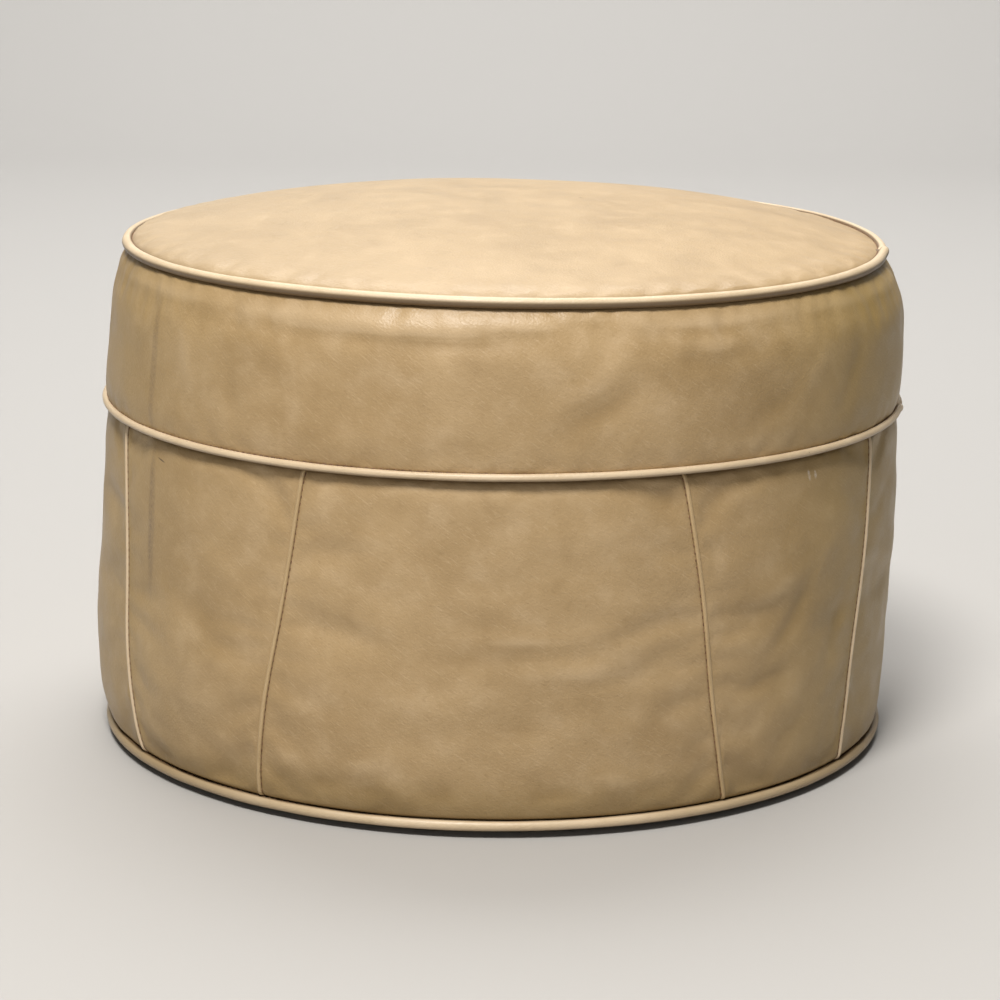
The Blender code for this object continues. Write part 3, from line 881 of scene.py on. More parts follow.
# rings of points that get fewer towards the middle, and the triangles between them
def discRings(radii, step):
    rings, faces, points = [], [], []
    for radius in radii:
        count = max(int(round(2 * math.pi * max(radius, step) / step / 6)) * 6, 6)
        if rings and radius > radii[0] - 5 * step:
            count = rings[0][1]
        if radius < step / 4:
            count = 1
        rings.append((len(points), count))
        points += [(radius, 2 * math.pi * k / count) for k in range(count)]
    for (a, na), (b, nb) in zip(rings, rings[1:]):
        i = j = 0
        while i < na or (j < nb and nb > 1):
            stepOuter = (i + 1) / na
            stepInner = (j + 1) / nb if nb > 1 else 2
            if na == nb:
                faces.append((a + i, a + (i + 1) % na, b + (i + 1) % nb, b + i))
                i += 1
                j += 1
            elif stepOuter <= stepInner:
                faces.append((a + i % na, a + (i + 1) % na, b + j % nb))
                i += 1
            else:
                faces.append((a + i % na, b + (j + 1) % nb, b + j % nb))
                j += 1
    return np.array(points), faces


crown = {
    "rimRadius": 0.2069,
    "rimHeight": 0.2748,
    "shoulder": 0.0034,      # the leather rises this much right beside the welt
    "shoulderReach": 0.0022,
    "power": 2.6,
    "tilt": -0.0045,
    "low": 1.10,             # the leather lies lower beside the welt at the rear right
    "lowAt": math.radians(112),
    "lowSpread": math.radians(42),
}


def crownHeightAt(radius, azimuth):
    across = radius * np.sin(azimuth)
    share = np.clip(radius / crown["rimRadius"], 0, 1)
    rise = crownHeight - crown["rimHeight"] - crown["shoulder"]
    rim = crown["shoulder"] * (1 - np.exp(-(crown["rimRadius"] - radius) / crown["shoulderReach"]))
    turn = (azimuth - crown["lowAt"] + math.pi) % (2 * math.pi) - math.pi
    rim = rim * (1 - crown["low"] * np.exp(-(turn / crown["lowSpread"]) ** 2) * share ** 6)
    slope = crown["tilt"] * across * (1 - share ** 8)
    return crown["rimHeight"] + rim + slope + rise * (1 - share ** crown["power"])


def makeTopPanel():
    step = skinWork["step"]
    edge = [0.0, 0.0011, 0.0024, 0.0042, 0.0066]
    inner = np.linspace(crown["rimRadius"] - 0.0110, 0, int(round(crown["rimRadius"] / step)))
    radii = [crown["rimRadius"] - e for e in edge] + list(inner)
    polar, faces = discRings(radii, step)
    points = around(polar[:, 0], polar[:, 1], 0)
    points[:, 2] = crownHeightAt(polar[:, 0], polar[:, 1]) - 0.0022 * smoothStep(
        (crown["rimRadius"] - polar[:, 0]) / 0.02)
    item = meshPiece("topPanelLeather", points, faces)
    near = crown["rimRadius"] - polar[:, 0]
    puffUp(item, near, 1.6, 0.010, skinWork["topCap"])
    free = smoothStep(near / skinWork["free"])
    wide = lumps(points, 0.070, 1.0, 2.2)
    gather = noiseRound(polar[:, 1], 150, 4.4) * np.exp(-((near - 0.011) / 0.007) ** 2)
    turn = (polar[:, 1] + math.pi) % (2 * math.pi) - math.pi
    pulled = 0.25 + np.exp(-((turn - math.radians(52)) / math.radians(11)) ** 2)
    amount = 0.0005 * wide + 0.0007 * gather * pulled
    up = np.zeros_like(points)
    up[:, 2] = 1
    pushOut(item, amount * free, up)
    flat = points[:, :2] + np.array([0, 2.0])
    uvFromPoints(item, flat)
    # painted shade in the dents; paler raised lumps, part rub and part painted highlight
    pointValues(item, "hollow", np.clip(-amount / 0.0012, -1, 1) * free)
    # painted shade beside the top welt; then a painted sheen: the whole top paler and greyer, most towards
    # the left
    pointValues(item, "seam", 0.6 * np.exp(-near / 0.0012))
    pointValues(item, "tone", 0.55 - 1.2 * points[:, 0])
    finishSkin(item, leather, "leather", "top_panel")
    print("top panel made")


# uneven waves that close up round the ring, about -1 to 1
def noiseRound(azimuth, waves, seed):
    scale = waves / (2 * math.pi)
    return np.array([1.6 * noise.noise(Vector((math.cos(a) * scale + seed, math.sin(a) * scale, seed)))
                     for a in azimuth])


makeSidePanels()
makeBand()
makeTopPanel()


weltWork = {
    "strip": 0.0010,
    "outerSides": 20,
    "innerSides": 12,
    "pathStep": 0.0020,
    "bend": 0.0140,          # length over which the ends leave the line
    "lap": 0.0060,           # how far the two ends pass each other
    "flange": 0.0045,
    "flangeHalf": 0.0006,    # half the thickness of the two layers of the flange
    "slitHalf": 0.0001,      # half the gap between them
    "pinchReach": 0.003,
    "cordRoom": 0.0002,      # the cord lies this much inside the leather
    "cordLobe": 0.09,        # three strands, and the length in which they turn by one radian
    "cordTwist": 0.0045,
}

# each joint's azimuth, how its two ends leave the line (out, up), and where painted shade darkens the tube:
# from one angle (degrees, 0 outwards, 90 up) to where it is full, and how much; and how much the welt's
# sides are painted darker
welts = {
    "top_welt": {
        "ring": topRing, "joint": math.radians(82), "wave": 0.00035,
        "outEnd": (0.0012, 0.0012), "inEnd": (-0.0030, -0.0024),
        "shade": [(40, -6, 0.86), (-6, -40, 1.0)], "wearAndShade": 0.0,
    },
    "middle_welt": {
        "ring": middleRing, "joint": math.radians(81), "wave": 0.00035,
        "outEnd": (0.0008, -0.0008), "inEnd": (-0.0030, 0.0004),
        "shade": [(12, -24, 0.50), (-22, -62, 1.0)], "wearAndShade": 0.0,
    },
    "bottom_welt": {
        "ring": bottomRing, "joint": math.radians(150), "wave": 0.00025,
        "outEnd": (0.0008, 0.0), "inEnd": (-0.0030, 0.0),
        "shade": [(50, 92, 0.72), (-12, -70, 0.90)], "wearAndShade": 1.0,
        "flangeRise": 0.0001, "flangeTo": 0.190,     # its flange reaches in under the board
    },
}


def arcPoints(radius, start, end, sides):
    angle = np.radians(np.linspace(start, end, sides + 1))
    return np.stack([radius * np.cos(angle), radius * np.sin(angle)], axis=-1)


# azimuth, radius and height along a welt, from its covered end to its covering one
def weltPath(welt, margin=0.0):
    ring = welt["ring"]
    lap = weltWork["lap"] / ring["radius"]
    total = 2 * math.pi + lap - 2 * margin / ring["radius"]
    count = int(total * ring["radius"] / weltWork["pathStep"])
    walked = np.linspace(0, total, count + 1) + margin / ring["radius"]
    azimuth = welt["joint"] - lap / 2 + walked
    sinceStart = walked * ring["radius"]
    toEnd = (2 * math.pi + lap) * ring["radius"] - sinceStart
    away = 1 - smoothStep(sinceStart / weltWork["bend"])
    over = 1 - smoothStep(toEnd / weltWork["bend"])
    wobble = noiseRound(azimuth, 9, ring["height"] * 50)
    dip = noiseRound(azimuth, 7, ring["height"] * 90 + 5)
    radius = ring["radius"] + welt["wave"] * wobble + away * welt["inEnd"][0] + over * welt["outEnd"][0]
    height = ring["height"] + welt["wave"] * dip + away * welt["inEnd"][1] + over * welt["outEnd"][1]
    return azimuth, radius, height, sinceStart, toEnd


# closed sections along a ring path, with flat caps
def sweep(name, azimuth, radius, height, sections):
    count = sections.shape[1]
    out, up = sections[:, :, 0], sections[:, :, 1]
    points = around(radius[:, None] + out, azimuth[:, None] + 0 * out, 0)
    points[:, :, 2] = height[:, None] + up
    item = meshPiece(name, points.reshape(-1, 3), tubeFaces(len(azimuth), count))
    closeUp(item)
    return item


# merges doubled points, where a distance is given, and turns the faces outwards
def closeUp(item, merge=None):
    bm = bmesh.new()
    bm.from_mesh(item.data)
    if merge:
        bmesh.ops.remove_doubles(bm, verts=bm.verts, dist=merge)
    bmesh.ops.recalc_face_normals(bm, faces=bm.faces)
    bm.to_mesh(item.data)
    bm.free()


def makeWelt(node, welt):
    ring = welt["ring"]
    tube = ring["tube"]
    hole = tube - weltWork["strip"]
    rise = welt.get("flangeRise", 0.0)
    reach = ring["radius"] - welt["flangeTo"] if "flangeTo" in welt else weltWork["flange"] + tube
    layer, slit = weltWork["flangeHalf"], weltWork["slitHalf"]
    outer = arcPoints(1.0, 162, -162, weltWork["outerSides"])
    inner = arcPoints(1.0, -150, 150, weltWork["innerSides"])
    azimuth, radius, height, sinceStart, toEnd = weltPath(welt)
    swell = 1 + 0.035 * noiseRound(azimuth, 60, 2.5 + ring["height"] * 10)
    pinch = 1 - 0.10 * np.exp(-toEnd / weltWork["pinchReach"])
    flangeOver = np.array([(-reach, rise + layer), (-tube * 0.97, rise + layer)])
    flangeUnder = np.array([(-tube * 0.97, rise - layer), (-reach, rise - layer)])
    slitIn = np.array([(-reach, rise - slit), (-hole * 0.95, rise - slit)])
    slitOut = np.array([(-hole * 0.95, rise + slit), (-reach, rise + slit)])
    sections = np.array([
        np.concatenate([flangeOver, outer * size, flangeUnder, slitIn, inner * hole, slitOut])
        for size in tube * swell * pinch])
    item = sweep(f"{node}_leather", azimuth, radius, height, sections)
    count = sections.shape[1]
    shown = slice(2, 2 + len(outer))             # the round part of the section
    roundTube = np.cumsum(np.concatenate([[0], np.hypot(*np.diff(outer, axis=0).T)])) * tube
    across = np.full(count, roundTube[-1] + 0.002)
    across[:2] = (-0.006, -0.001)
    across[shown] = roundTube
    angles = np.linspace(162, -162, len(outer))
    # painted shade: the flange and the tube's inner face, where it meets the panels, darkened in full, and
    # the bands given under shade darkened too
    side = np.ones(count)
    side[shown] = smoothStep((np.abs(angles) - 96) / 50)
    for start, full, amount in welt["shade"]:
        shade = amount * smoothStep((angles - start) / (full - start))
        side[shown] = np.maximum(side[shown], shade)
    lengthways = azimuth * ring["radius"] + ring["height"] * 7
    flat = np.stack([np.repeat(lengthways, count), np.tile(across, len(azimuth))], axis=-1)
    uvFromPoints(item, flat)
    pointValues(item, "seam", np.tile(side, len(azimuth)))
    # painted shade: the bottom welt darker and more olive everywhere but at the front
    turned = (azimuth + math.pi) % (2 * math.pi) - math.pi
    paintedShade = welt["wearAndShade"] * (1 - np.exp(-(turned / math.radians(38)) ** 2))
    pointValues(item, "tone", -np.repeat(paintedShade, count))
    leanOver(item)
    item.data.materials.append(weltLeather)
    item.data.shade_smooth()
    item.data.set_sharp_from_angle(angle=math.radians(50))
    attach(item, body)
    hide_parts(node)

    cordRadius = hole - weltWork["cordRoom"]
    azimuth, radius, height, _, _ = weltPath(welt, margin=0.0016)
    turn = np.linspace(0, 2 * math.pi, 12, endpoint=False)
    walked = azimuth * ring["radius"]
    lobe = weltWork["cordLobe"]
    lobes = 1 + lobe * np.cos(3 * (turn[None, :] - walked[:, None] / weltWork["cordTwist"]))
    size = cordRadius * lobes / (1 + lobe)
    sections = np.stack([size * np.cos(turn), size * np.sin(turn)], axis=-1)
    cord = sweep(f"{node}_twistedCord", azimuth, radius, height, sections)
    leanOver(cord)
    cord.data.materials.append(cordMaterial)
    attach(cord, body)
    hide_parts(f"{node}_cord")


for node, welt in welts.items():
    makeWelt(node, welt)
print("welts made")

pipingWork = {
    "radius": 0.00125,
    "sink": 0.0004,          # how deep its middle lies in the seam
    "sides": 14,
    "step": 0.0016,
    "endGap": 0.0006,
    # painted highlight: the two far seams' pipings get the welts' paler leather, as they catch the light
    # edge-on
    "pale": (1, 6),          # the two that are as pale as the welts
}


# azimuth, radius and height down the middle of an upright seam
def seamLine(index):
    curve = smoothOutline(outlines["side"])
    total = curveLength(curve)
    gap = pipingWork["endGap"]
    profile = alongCurve(curve, np.linspace(gap, total - gap, int(total / pipingWork["step"])))
    return seamAzimuth(index, profile[:, 0]), profile[:, 1], profile[:, 0]


def makeSeamPiping(index):
    azimuth, radius, height = seamLine(index)
    swell = 1 + 0.05 * np.array([noise.noise(Vector((h * 140, index * 5.3, 0))) for h in height])
    radius = radius - pipingWork["sink"]
    turn = np.linspace(0, 2 * math.pi, pipingWork["sides"], endpoint=False)
    out = pipingWork["radius"] * np.cos(turn)
    along = pipingWork["radius"] * np.sin(turn)
    points = []
    for a, r, h, s in zip(azimuth, radius, height, swell):
        points.extend(around(r + out * s, a + along * s / r, h))
    count = len(turn)
    item = meshPiece(f"seam_piping_{index + 1}_leather", points, tubeFaces(len(azimuth), count))
    closeUp(item)
    across = np.tile(turn * pipingWork["radius"], len(azimuth))
    uvFromPoints(item, np.stack([np.repeat(height, count) + 3 + index * 0.3, across], axis=-1))
    # painted shade on the piping's flanks, deeper on the stitched side towards the front
    toFront = -np.sign(np.sin(azimuth))[0] * np.sin(turn)
    side = smoothStep((0.70 - np.cos(turn)) / 0.8) * np.where(toFront > 0, 0.8, 0.30)
    pointValues(item, "seam", np.tile(side, len(azimuth)))
    leanOver(item)
    # painted highlight on the two far pipings
    item.data.materials.append(weltLeather if index in pipingWork["pale"] else seamLeather)
    item.data.shade_smooth()
    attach(item, body)
    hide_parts(f"seam_piping_{index + 1}")


for index in range(8):
    makeSeamPiping(index)
print("seam pipings made")


stitchWork = {
    "pitch": 0.0038,
    "length": 0.0026,
    "thickness": 0.00031,
    "loose": 0.07,           # how unevenly long the stitches are
    "beside": 0.00142,       # from the middle of an upright seam to its stitches
    "sink": 0.0004,
}


# one stitch: a short thread that dives into the leather at both ends
def stitchMesh(length, radius):
    sides, rings = 5, 4
    points = []
    for k in range(rings):
        share = k / (rings - 1)
        x = (share - 0.5) * length
        dip = -radius * 1.6 * (2 * share - 1) ** 2
        size = radius * (1 - 0.45 * (2 * share - 1) ** 4)
        for s in range(sides):
            angle = 2 * math.pi * s / sides
            points.append((x, size * math.cos(angle), dip + size * math.sin(angle)))
    item = meshPiece("stitchShape", points, tubeFaces(rings, sides))
    closeUp(item)
    return item


def newShapeTree(name, inputs):
    tree = bpy.data.node_groups.new(name, 'GeometryNodeTree')
    tree.interface.new_socket("Geometry", in_out='INPUT', socket_type='NodeSocketGeometry')
    for label, kind, value in inputs:
        tree.interface.new_socket(label, in_out='INPUT', socket_type=kind).default_value = value
    tree.interface.new_socket("Geometry", in_out='OUTPUT', socket_type='NodeSocketGeometry')
    return tree, tree.nodes.new('NodeGroupInput'), tree.nodes.new('NodeGroupOutput')


# copies of a shape on a tree's points, made real and given their material
def placeCopies(tree, end, shape, material):
    info = addNode(tree, 'GeometryNodeObjectInfo', Object=shape)
    place = tree.nodes.new('GeometryNodeInstanceOnPoints')
    real = tree.nodes.new('GeometryNodeRealizeInstances')
    dress = addNode(tree, 'GeometryNodeSetMaterial', Material=material)
    link(tree, info.outputs["Geometry"], place.inputs["Instance"])
    link(tree, place.outputs["Instances"], real.inputs["Geometry"])
    link(tree, real.outputs["Geometry"], dress.inputs["Geometry"])
    link(tree, dress.outputs["Geometry"], end.inputs["Geometry"])
    return place


# runs a tree on a piece, with its named inputs set, and keeps the result as a plain mesh
def runTree(item, tree, **values):
    rows = item.modifiers.new("copies", 'NODES')
    rows.node_group = tree
    for socket in tree.interface.items_tree:
        if socket.in_out == 'INPUT' and socket.name in values:
            rows[socket.identifier] = values[socket.name]
    applyModifiers(item)
    item.data.shade_smooth()


# places the stitch along the edges of a guide mesh, at an even pitch
def buildStitchTree(shape):
    tree, start, end = newShapeTree("stitchRow", (
        ("Pitch", 'NodeSocketFloat', 0.004), ("Loose", 'NodeSocketFloat', 0.08),
        ("Seed", 'NodeSocketInt', 1)))
    toCurve = tree.nodes.new('GeometryNodeMeshToCurve')
    toPoints = addNode(tree, 'GeometryNodeResampleCurve', mode='LENGTH')
    facing = addNode(tree, 'GeometryNodeInputNamedAttribute', data_type='FLOAT_VECTOR', Name="outward")
    tangent = tree.nodes.new('GeometryNodeInputTangent')
    faceOut = addNode(tree, 'FunctionNodeAlignRotationToVector', axis='Z')
    faceAlong = addNode(tree, 'FunctionNodeAlignRotationToVector', axis='X', pivot_axis='Z')
    scale = addNode(tree, 'FunctionNodeRandomValue', data_type='FLOAT')
    place = placeCopies(tree, end, shape, threadMaterial)
    for source, target in (
            (start.outputs["Geometry"], toCurve.inputs["Mesh"]),
            (toCurve.outputs["Curve"], toPoints.inputs["Curve"]),
            (start.outputs["Pitch"], toPoints.inputs["Length"]),
            (facing.outputs["Attribute"], faceOut.inputs["Vector"]),
            (faceOut.outputs["Rotation"], faceAlong.inputs["Rotation"]),
            (tangent.outputs["Tangent"], faceAlong.inputs["Vector"]),
            (toPoints.outputs["Curve"], place.inputs["Points"]),
            (faceAlong.outputs["Rotation"], place.inputs["Rotation"]),
            (mathNode(tree, 'SUBTRACT', 1.0, start.outputs["Loose"]), scale.inputs[2]),
            (mathNode(tree, 'ADD', 1.0, start.outputs["Loose"]), scale.inputs[3]),
            (start.outputs["Seed"], scale.inputs["Seed"]),
            (scale.outputs[1], place.inputs["Scale"])):
        link(tree, source, target)
    return tree


# lines as loose edges, each point with the direction that its stitch faces
def guideMesh(name, lines):
    points, edges, normals = [], [], []
    for line, faceWay, closed in lines:
        start = len(points)
        points.extend(line)
        normals.extend(faceWay)
        edges += [(start + k, start + k + 1) for k in range(len(line) - 1)]
        if closed:
            edges.append((start + len(line) - 1, start))
    mesh = bpy.data.meshes.new(name)
    mesh.from_pydata([tuple(p) for p in settle(points)], edges, [])
    layer = mesh.attributes.new("outward", 'FLOAT_VECTOR', 'POINT')
    layer.data.foreach_set("vector", np.asarray(normals, dtype=np.float32).ravel())
    item = bpy.data.objects.new(name, mesh)
    bpy.context.scene.collection.objects.link(item)
    return item


def stitchRow(name, lines, tree, seed):
    item = guideMesh(name, lines)
    runTree(item, tree, Pitch=stitchWork["pitch"], Loose=stitchWork["loose"], Seed=seed)
    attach(item, body)


# a line of stitches round a welt, so many tube radii out and up from its middle
def ringLine(ring, out, up, outFacing, upFacing):
    azimuth = np.linspace(0, 2 * math.pi, 720, endpoint=False)
    radius = ring["radius"] + out * ring["tube"]
    line = around(radius + 0 * azimuth, azimuth, ring["height"] + up * ring["tube"])
    direction = around(outFacing + 0 * azimuth, azimuth, 0)
    direction[:, 2] = upFacing
    return line, direction, True


def makeStitches():
    shape = stitchMesh(stitchWork["length"], stitchWork["thickness"])
    tree = buildStitchTree(shape)
    stitchRow("middleWeltStitches", [ringLine(middleRing, -0.44, 0.98, 0.6, 0.8)], tree, 1)
    stitchRow("topWeltStitches", [ringLine(topRing, -0.93, 0.55, -0.3, 1.0)], tree, 2)
    stitchRow("bottomWeltStitches", [ringLine(bottomRing, -0.45, 0.93, 0.6, 0.8)], tree, 3)
    lines = []
    for index in range(8):
        azimuth, radius, height = seamLine(index)
        side = -np.sign(np.sin(azimuth))[0]
        beside = azimuth + side * stitchWork["beside"] / radius
        line = around(radius - stitchWork["sink"], beside, height)
        direction = around(1.0 + 0 * beside, beside, 0)
        lines.append((line[3:-3], direction[3:-3], False))
    stitchRow("seamStitches", lines, tree, 4)
    bpy.data.objects.remove(shape)
    print("stitches made")


makeStitches()


fillWork = {
    "outline": [(0.0174, 0.2085), (0.0400, 0.2150), (0.0900, 0.2180), (0.1500, 0.2160), (0.1884, 0.2125),
                (0.2200, 0.2140), (0.2500, 0.2090), (0.2660, 0.1990), (0.2740, 0.1880), (0.2830, 0.1500),
                (0.2880, 0.0900), (0.2900, 0.0000)],
    "split": 0.268,          # height between the side wadding and the top one
    "splitGap": 0.0012,
    "feltThickness": 0.0080,
    "sackDepth": 0.0092,     # the sack and the stuffing lie this deep under the wadding's face
    "sackThickness": 0.0011,
    "stuffingDepth": 0.0122,
    "columns": 160,
    "bump": 0.0009,
}


# points of one layer of the filling, at a depth under its outline, between two heights
def fillPoints(depth, lowest, highest, rows, bumpSize, seed):
    columns = fillWork["columns"]
    curve = smoothOutline(fillWork["outline"])
    curve = curve[(curve[:, 0] >= lowest - 1e-6) & (curve[:, 0] <= highest + 1e-6)]
    direction = np.gradient(curve, axis=0)
    direction /= np.linalg.norm(direction, axis=1)[:, None]
    inner = np.stack([curve[:, 0] - depth * np.abs(direction[:, 1]),
                      np.maximum(curve[:, 1] - depth * direction[:, 0], 0.0)], axis=-1)
    inner[0, 0] = curve[0, 0]
    profile = alongCurve(inner, np.linspace(0, curveLength(inner), rows))
    azimuth = np.linspace(0, 2 * math.pi, columns, endpoint=False)
    points = []
    for height, radius in profile:
        points.extend(around(radius + 0 * azimuth, azimuth, height))
    points = np.array(points)
    bump = lumps(points, bumpSize, 1.0, seed)
    keep = np.repeat(smoothStep(np.arange(rows) / 4), columns)
    keep = keep * smoothStep(np.linalg.norm(points[:, :2], axis=1) / 0.02)
    return points + outward(points) * (bump * fillWork["bump"] * keep)[:, None]


# two turned surfaces joined at their rims, and closed where they reach the axis
def closeShell(name, outerPoints, innerPoints, rows, top):
    columns = fillWork["columns"]
    faces = gridFaces(rows, columns, 0, closed=True)
    base = len(outerPoints)
    inside = [face[::-1] for face in gridFaces(rows, columns, base, closed=True)]
    rim = [(k, (k + 1) % columns, base + (k + 1) % columns, base + k) for k in range(columns)]
    faces += inside + [face[::-1] for face in rim]
    last = (rows - 1) * columns
    if top:
        faces.append(tuple(last + k for k in range(columns)))
        faces.append(tuple(base + last + k for k in range(columns))[::-1])
    else:
        faces += [(last + k, last + (k + 1) % columns, base + last + (k + 1) % columns, base + last + k)
                  for k in range(columns)]
    return meshPiece(name, np.concatenate([outerPoints, innerPoints]), faces)


def handOver(item, material, replaced):
    closeUp(item, merge=0.00005)
    item.data.shade_smooth()
    leanOver(item)
    item.data.materials.append(material)
    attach(item, body)
    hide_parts(replaced)


def makeFilling():
    low, high = fillWork["outline"][0][0], fillWork["outline"][-1][0]
    felt, sack = fillWork["feltThickness"], fillWork["sackDepth"]
    sideTop, topFoot = fillWork["split"], fillWork["split"] + fillWork["splitGap"]
    # name, outer and inner depth, lowest and highest, rows, size of the lumps, seed, closed at the top,
    # material, slot, the node it stands for and how hard it is filled
    for name, outer, inner, foot, head, rows, size, seed, top, material, slot, node, fill in (
            ("sideWaddingFelt", 0.0, felt, low, sideTop, 40, 0.02, 1.1, False,
             waddingMaterial, "wadding", "side_wadding", 0.5),
            ("topWaddingFelt", 0.0, felt, topFoot, high, 30, 0.03, 6.1, True,
             waddingMaterial, "wadding", "top_wadding", 0.6),
            ("hessianSackCloth", sack, sack + fillWork["sackThickness"], low, high, 60, 0.03, 2.7, True,
             hessianMaterial, "hessian", "hessian_sack", None)):
        outerPoints = fillPoints(outer, foot, head, rows, size, seed)
        innerPoints = fillPoints(inner, foot, head, rows, size, seed)
        handOver(closeShell(name, outerPoints, innerPoints, rows, top), material, node)
    points = fillPoints(fillWork["stuffingDepth"], low, high, 60, 0.03, 2.7)
    item = meshPiece("packedStuffing", points, tubeFaces(60, fillWork["columns"]))
    handOver(item, stuffingMaterial, "stuffing")
    print("filling made")


makeFilling()


baseWork = {
    "tackCircle": 0.1968,
    "tackCount": 12,
    "tackHead": 0.0040,
    "glideCount": 4,
    "dustThickness": 0.0005,
    "dustRings": (0, 0.0008, 0.0022, 0.0045, 0.0075),     # from the edge of the dust cover
    "dustStep": 0.0055,
}


# an outline of (radius, height), from the axis back to the axis, turned about an upright line
def lathe(name, outline, sides, place=(0, 0)):
    points = []
    angle = np.linspace(0, 2 * math.pi, sides, endpoint=False)
    for radius, height in outline:
        points.extend(around(radius, angle, height) + np.array([place[0], place[1], 0]))
    item = meshPiece(name, points, tubeFaces(len(outline), sides))
    closeUp(item, merge=0.000005)
    item.data.shade_smooth()
    item.data.set_sharp_from_angle(angle=math.radians(45))
    return item


def makeDustCover():
    low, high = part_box("dust_cover")
    outerRadius = (high[0] - low[0]) / 2
    radii = list(outerRadius - np.array(baseWork["dustRings"]))
    radii += list(np.linspace(outerRadius - 0.012, 0, 34))
    polar, faces = discRings(radii, baseWork["dustStep"])
    azimuth = polar[:, 1]
    middle = (low[2] + high[2]) / 2 + baseWork["dustThickness"] / 2
    pull = np.cos(baseWork["tackCount"] * (azimuth - math.pi / baseWork["tackCount"]))
    rim = np.exp(-((polar[:, 0] - baseWork["tackCircle"]) / 0.012) ** 2)
    radius = polar[:, 0] - 0.0007 * (1 - pull) * smoothStep((polar[:, 0] - 0.17) / 0.03)
    points = around(radius, azimuth, 0)
    sag = lumps(np.stack([points[:, 0], points[:, 1], 0 * azimuth], axis=-1), 0.06, 1.0, 8.8)
    inside = smoothStep((outerRadius - polar[:, 0]) / 0.03)
    pleat = noiseRound(azimuth, 150, 3.3)
    points[:, 2] = middle - 0.00045 * inside * (1 + sag) - 0.00022 * rim * pleat + 0.0001 * rim * pull
    item = meshPiece("dustCoverCloth", points, [face[::-1] for face in faces])
    wall = item.modifiers.new("wall", 'SOLIDIFY')
    wall.thickness = baseWork["dustThickness"]
    wall.offset = -1
    applyModifiers(item)
    item.data.materials.clear()
    item.data.materials.append(cambricMaterial)
    item.data.shade_smooth()
    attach(item, body)
    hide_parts("dust_cover")


# sets copies of one small shape round a circle
def buildRingOfTree(shape):
    tree, start, end = newShapeTree("ringOf", (
        ("Count", 'NodeSocketInt', 12), ("Circle", 'NodeSocketFloat', 0.2),
        ("Start", 'NodeSocketFloat', 0.0)))
    circle = tree.nodes.new('GeometryNodeMeshCircle')
    turned = tree.nodes.new('GeometryNodeTransform')
    angle = tree.nodes.new('ShaderNodeCombineXYZ')
    place = placeCopies(tree, end, shape, steelMaterial)
    for source, target in (
            (start.outputs["Count"], circle.inputs["Vertices"]),
            (start.outputs["Circle"], circle.inputs["Radius"]),
            (circle.outputs["Mesh"], turned.inputs["Geometry"]),
            (start.outputs["Start"], angle.inputs["Z"]),
            (angle.outputs[0], turned.inputs["Rotation"]),
            (turned.outputs["Geometry"], place.inputs["Points"])):
        link(tree, source, target)
    return tree


def makeTacks():
    low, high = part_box("tack_1")
    head = baseWork["tackHead"]
    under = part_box("dust_cover")[0][2]
    outline = [(0, low[2])]
    outline += [(head * math.sin(a), under - (under - low[2]) * math.cos(a))
                for a in np.radians([18, 36, 54, 72, 90])]
    outline += [(0.0009, under), (0.0009, high[2] - 0.003), (0, high[2])]
    shape = lathe("tackShape", outline, 18)
    tree = buildRingOfTree(shape)
    item = meshPiece("dustCoverTacks", [(0, 0, 0)], [])
    runTree(item, tree, Count=baseWork["tackCount"], Circle=baseWork["tackCircle"],
            Start=math.pi / baseWork["tackCount"] - math.pi / 2)
    bpy.data.objects.remove(shape)
    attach(item, body)
    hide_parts(*[f"tack_{k + 1}" for k in range(baseWork["tackCount"])])


def makeGlides():
    for k in range(baseWork["glideCount"]):
        low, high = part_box(f"glide_{k + 1}")
        foot = low[2]
        place = ((low[0] + high[0]) / 2, (low[1] + high[1]) / 2)
        wide = (high[0] - low[0]) / 2
        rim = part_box("dust_cover")[0][2] - 0.0002
        nail = 0.0013
        outline = [(0, foot + 0.0002), (wide * 0.16, foot + 0.0001)]
        outline += [(wide * 0.24, foot), (wide * 0.44, foot)]
        outline += [(wide * (0.44 + 0.56 * math.sin(a)), foot + rim * (1 - math.cos(a)))
                    for a in np.radians([18, 36, 54, 72, 84])]
        outline += [(wide, rim), (wide * 0.96, rim + 0.0002), (nail, rim + 0.0002),
                    (nail, high[2] - 0.002), (0, high[2])]
        item = lathe(f"glide_{k + 1}_dome", outline, 40, place)
        item.data.materials.append(steelMaterial)
        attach(item, body)
        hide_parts(f"glide_{k + 1}")


makeDustCover()
makeTacks()
makeGlides()
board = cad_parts["base_board"]
board.data.materials.clear()
board.data.materials.append(boardMaterial)
print("underside made")


stageWork = {
    "floor": (0.44, 0.43, 0.415),
    "world": (1.0, 0.96, 0.90),
    "worldStrength": 0.09,
    "coveStart": 2.6,        # where the floor begins to curve up behind the piece
    "coveRadius": 1.0,
    "coveHeight": 3.0,
    "reach": 8.0,            # how far the floor goes to the sides and the front
}

lights = [
    {"name": "key", "at": (-0.36, -1.42, 2.55), "to": (0, 0, 0.2), "size": 0.8, "watts": 83,
     "color": (1.0, 0.97, 0.93)},
    {"name": "overhead", "at": (0.0, 0.25, 2.3), "to": (0, 0, 0.2), "size": 1.3, "watts": 11,
     "color": (1.0, 0.97, 0.92)},
    {"name": "frontFill", "at": (-0.4, -2.6, 0.8), "to": (0, 0, 0.15), "size": 1.4, "watts": 8,
     "color": (1.0, 0.97, 0.93)},
    {"name": "backdrop", "at": (0, 1.8, 2.9), "to": (0, 3.0, 0.0), "size": 3.0, "watts": 112,
     "color": (1.0, 0.99, 0.98)},
]


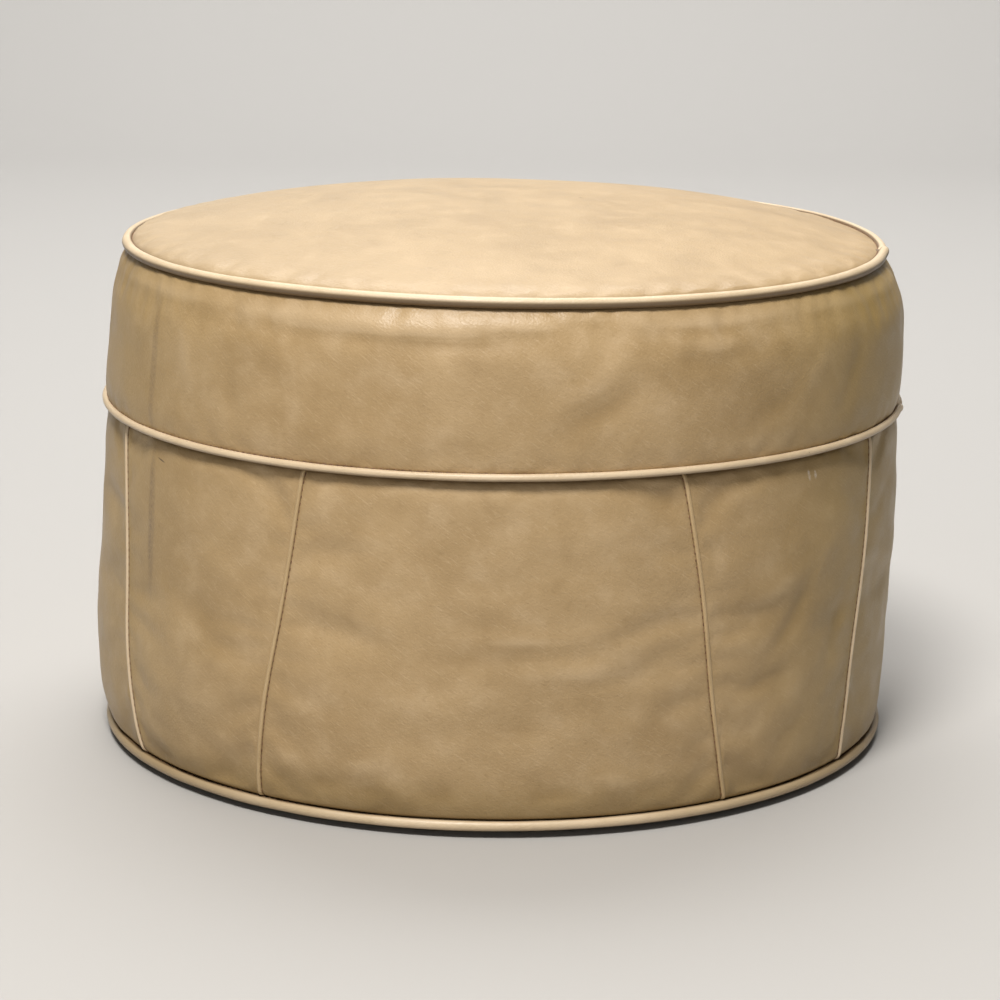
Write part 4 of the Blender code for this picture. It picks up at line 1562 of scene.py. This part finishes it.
def makeStage():
    start, radius = stageWork["coveStart"], stageWork["coveRadius"]
    reach = stageWork["reach"]
    side = [(-reach, 0.0), (start, 0.0)]
    side += [(start + radius * math.sin(a), radius * (1 - math.cos(a))) for a in np.radians(range(6, 91, 6))]
    side.append((start + radius, stageWork["coveHeight"]))
    points = [(x, y, z) for y, z in side for x in (-reach, reach)]
    strips = [(2 * k, 2 * k + 1, 2 * k + 3, 2 * k + 2) for k in range(len(side) - 1)]
    floor = meshPiece("floor", points, strips)
    material, tree, shader = newMaterial("paleFloor")
    shader.inputs["Base Color"].default_value = (*stageWork["floor"], 1)
    shader.inputs["Roughness"].default_value = 0.85
    floor.data.materials.append(material)
    world = bpy.data.worlds.new("studio")
    world.use_nodes = True
    background = world.node_tree.nodes["Background"]
    background.inputs["Color"].default_value = (*stageWork["world"], 1)
    background.inputs["Strength"].default_value = stageWork["worldStrength"]
    bpy.context.scene.world = world
    for light in lights:
        data = bpy.data.lights.new(light["name"], 'AREA')
        data.shape = 'DISK'
        data.size = light["size"]
        data.energy = light["watts"]
        data.color = light["color"]
        item = bpy.data.objects.new(light["name"], data)
        item.location = light["at"]
        aim = Vector(light["to"]) - Vector(light["at"])
        item.rotation_euler = aim.to_track_quat('-Z', 'Y').to_euler()
        bpy.context.scene.collection.objects.link(item)
    bpy.context.scene.view_settings.view_transform = 'Standard'


cameraWork = {
    "at": (0.0030, -1.6622, 0.5191),
    "lookDown": math.radians(13.344),
    "roll": 0.0102,
    "focal": 107.9,
    "sensor": 36,
}


def makeCamera():
    data = bpy.data.cameras.new("camera")
    data.sensor_width = cameraWork["sensor"]
    data.lens = cameraWork["focal"]
    item = bpy.data.objects.new("camera", data)
    tilt = Matrix.Rotation(math.pi / 2 - cameraWork["lookDown"], 4, 'X')
    roll = Matrix.Rotation(cameraWork["roll"], 4, 'Z')
    item.matrix_world = Matrix.Translation(cameraWork["at"]) @ tilt @ roll
    bpy.context.scene.collection.objects.link(item)
    bpy.context.scene.camera = item


makeStage()
makeCamera()
print("stage made")
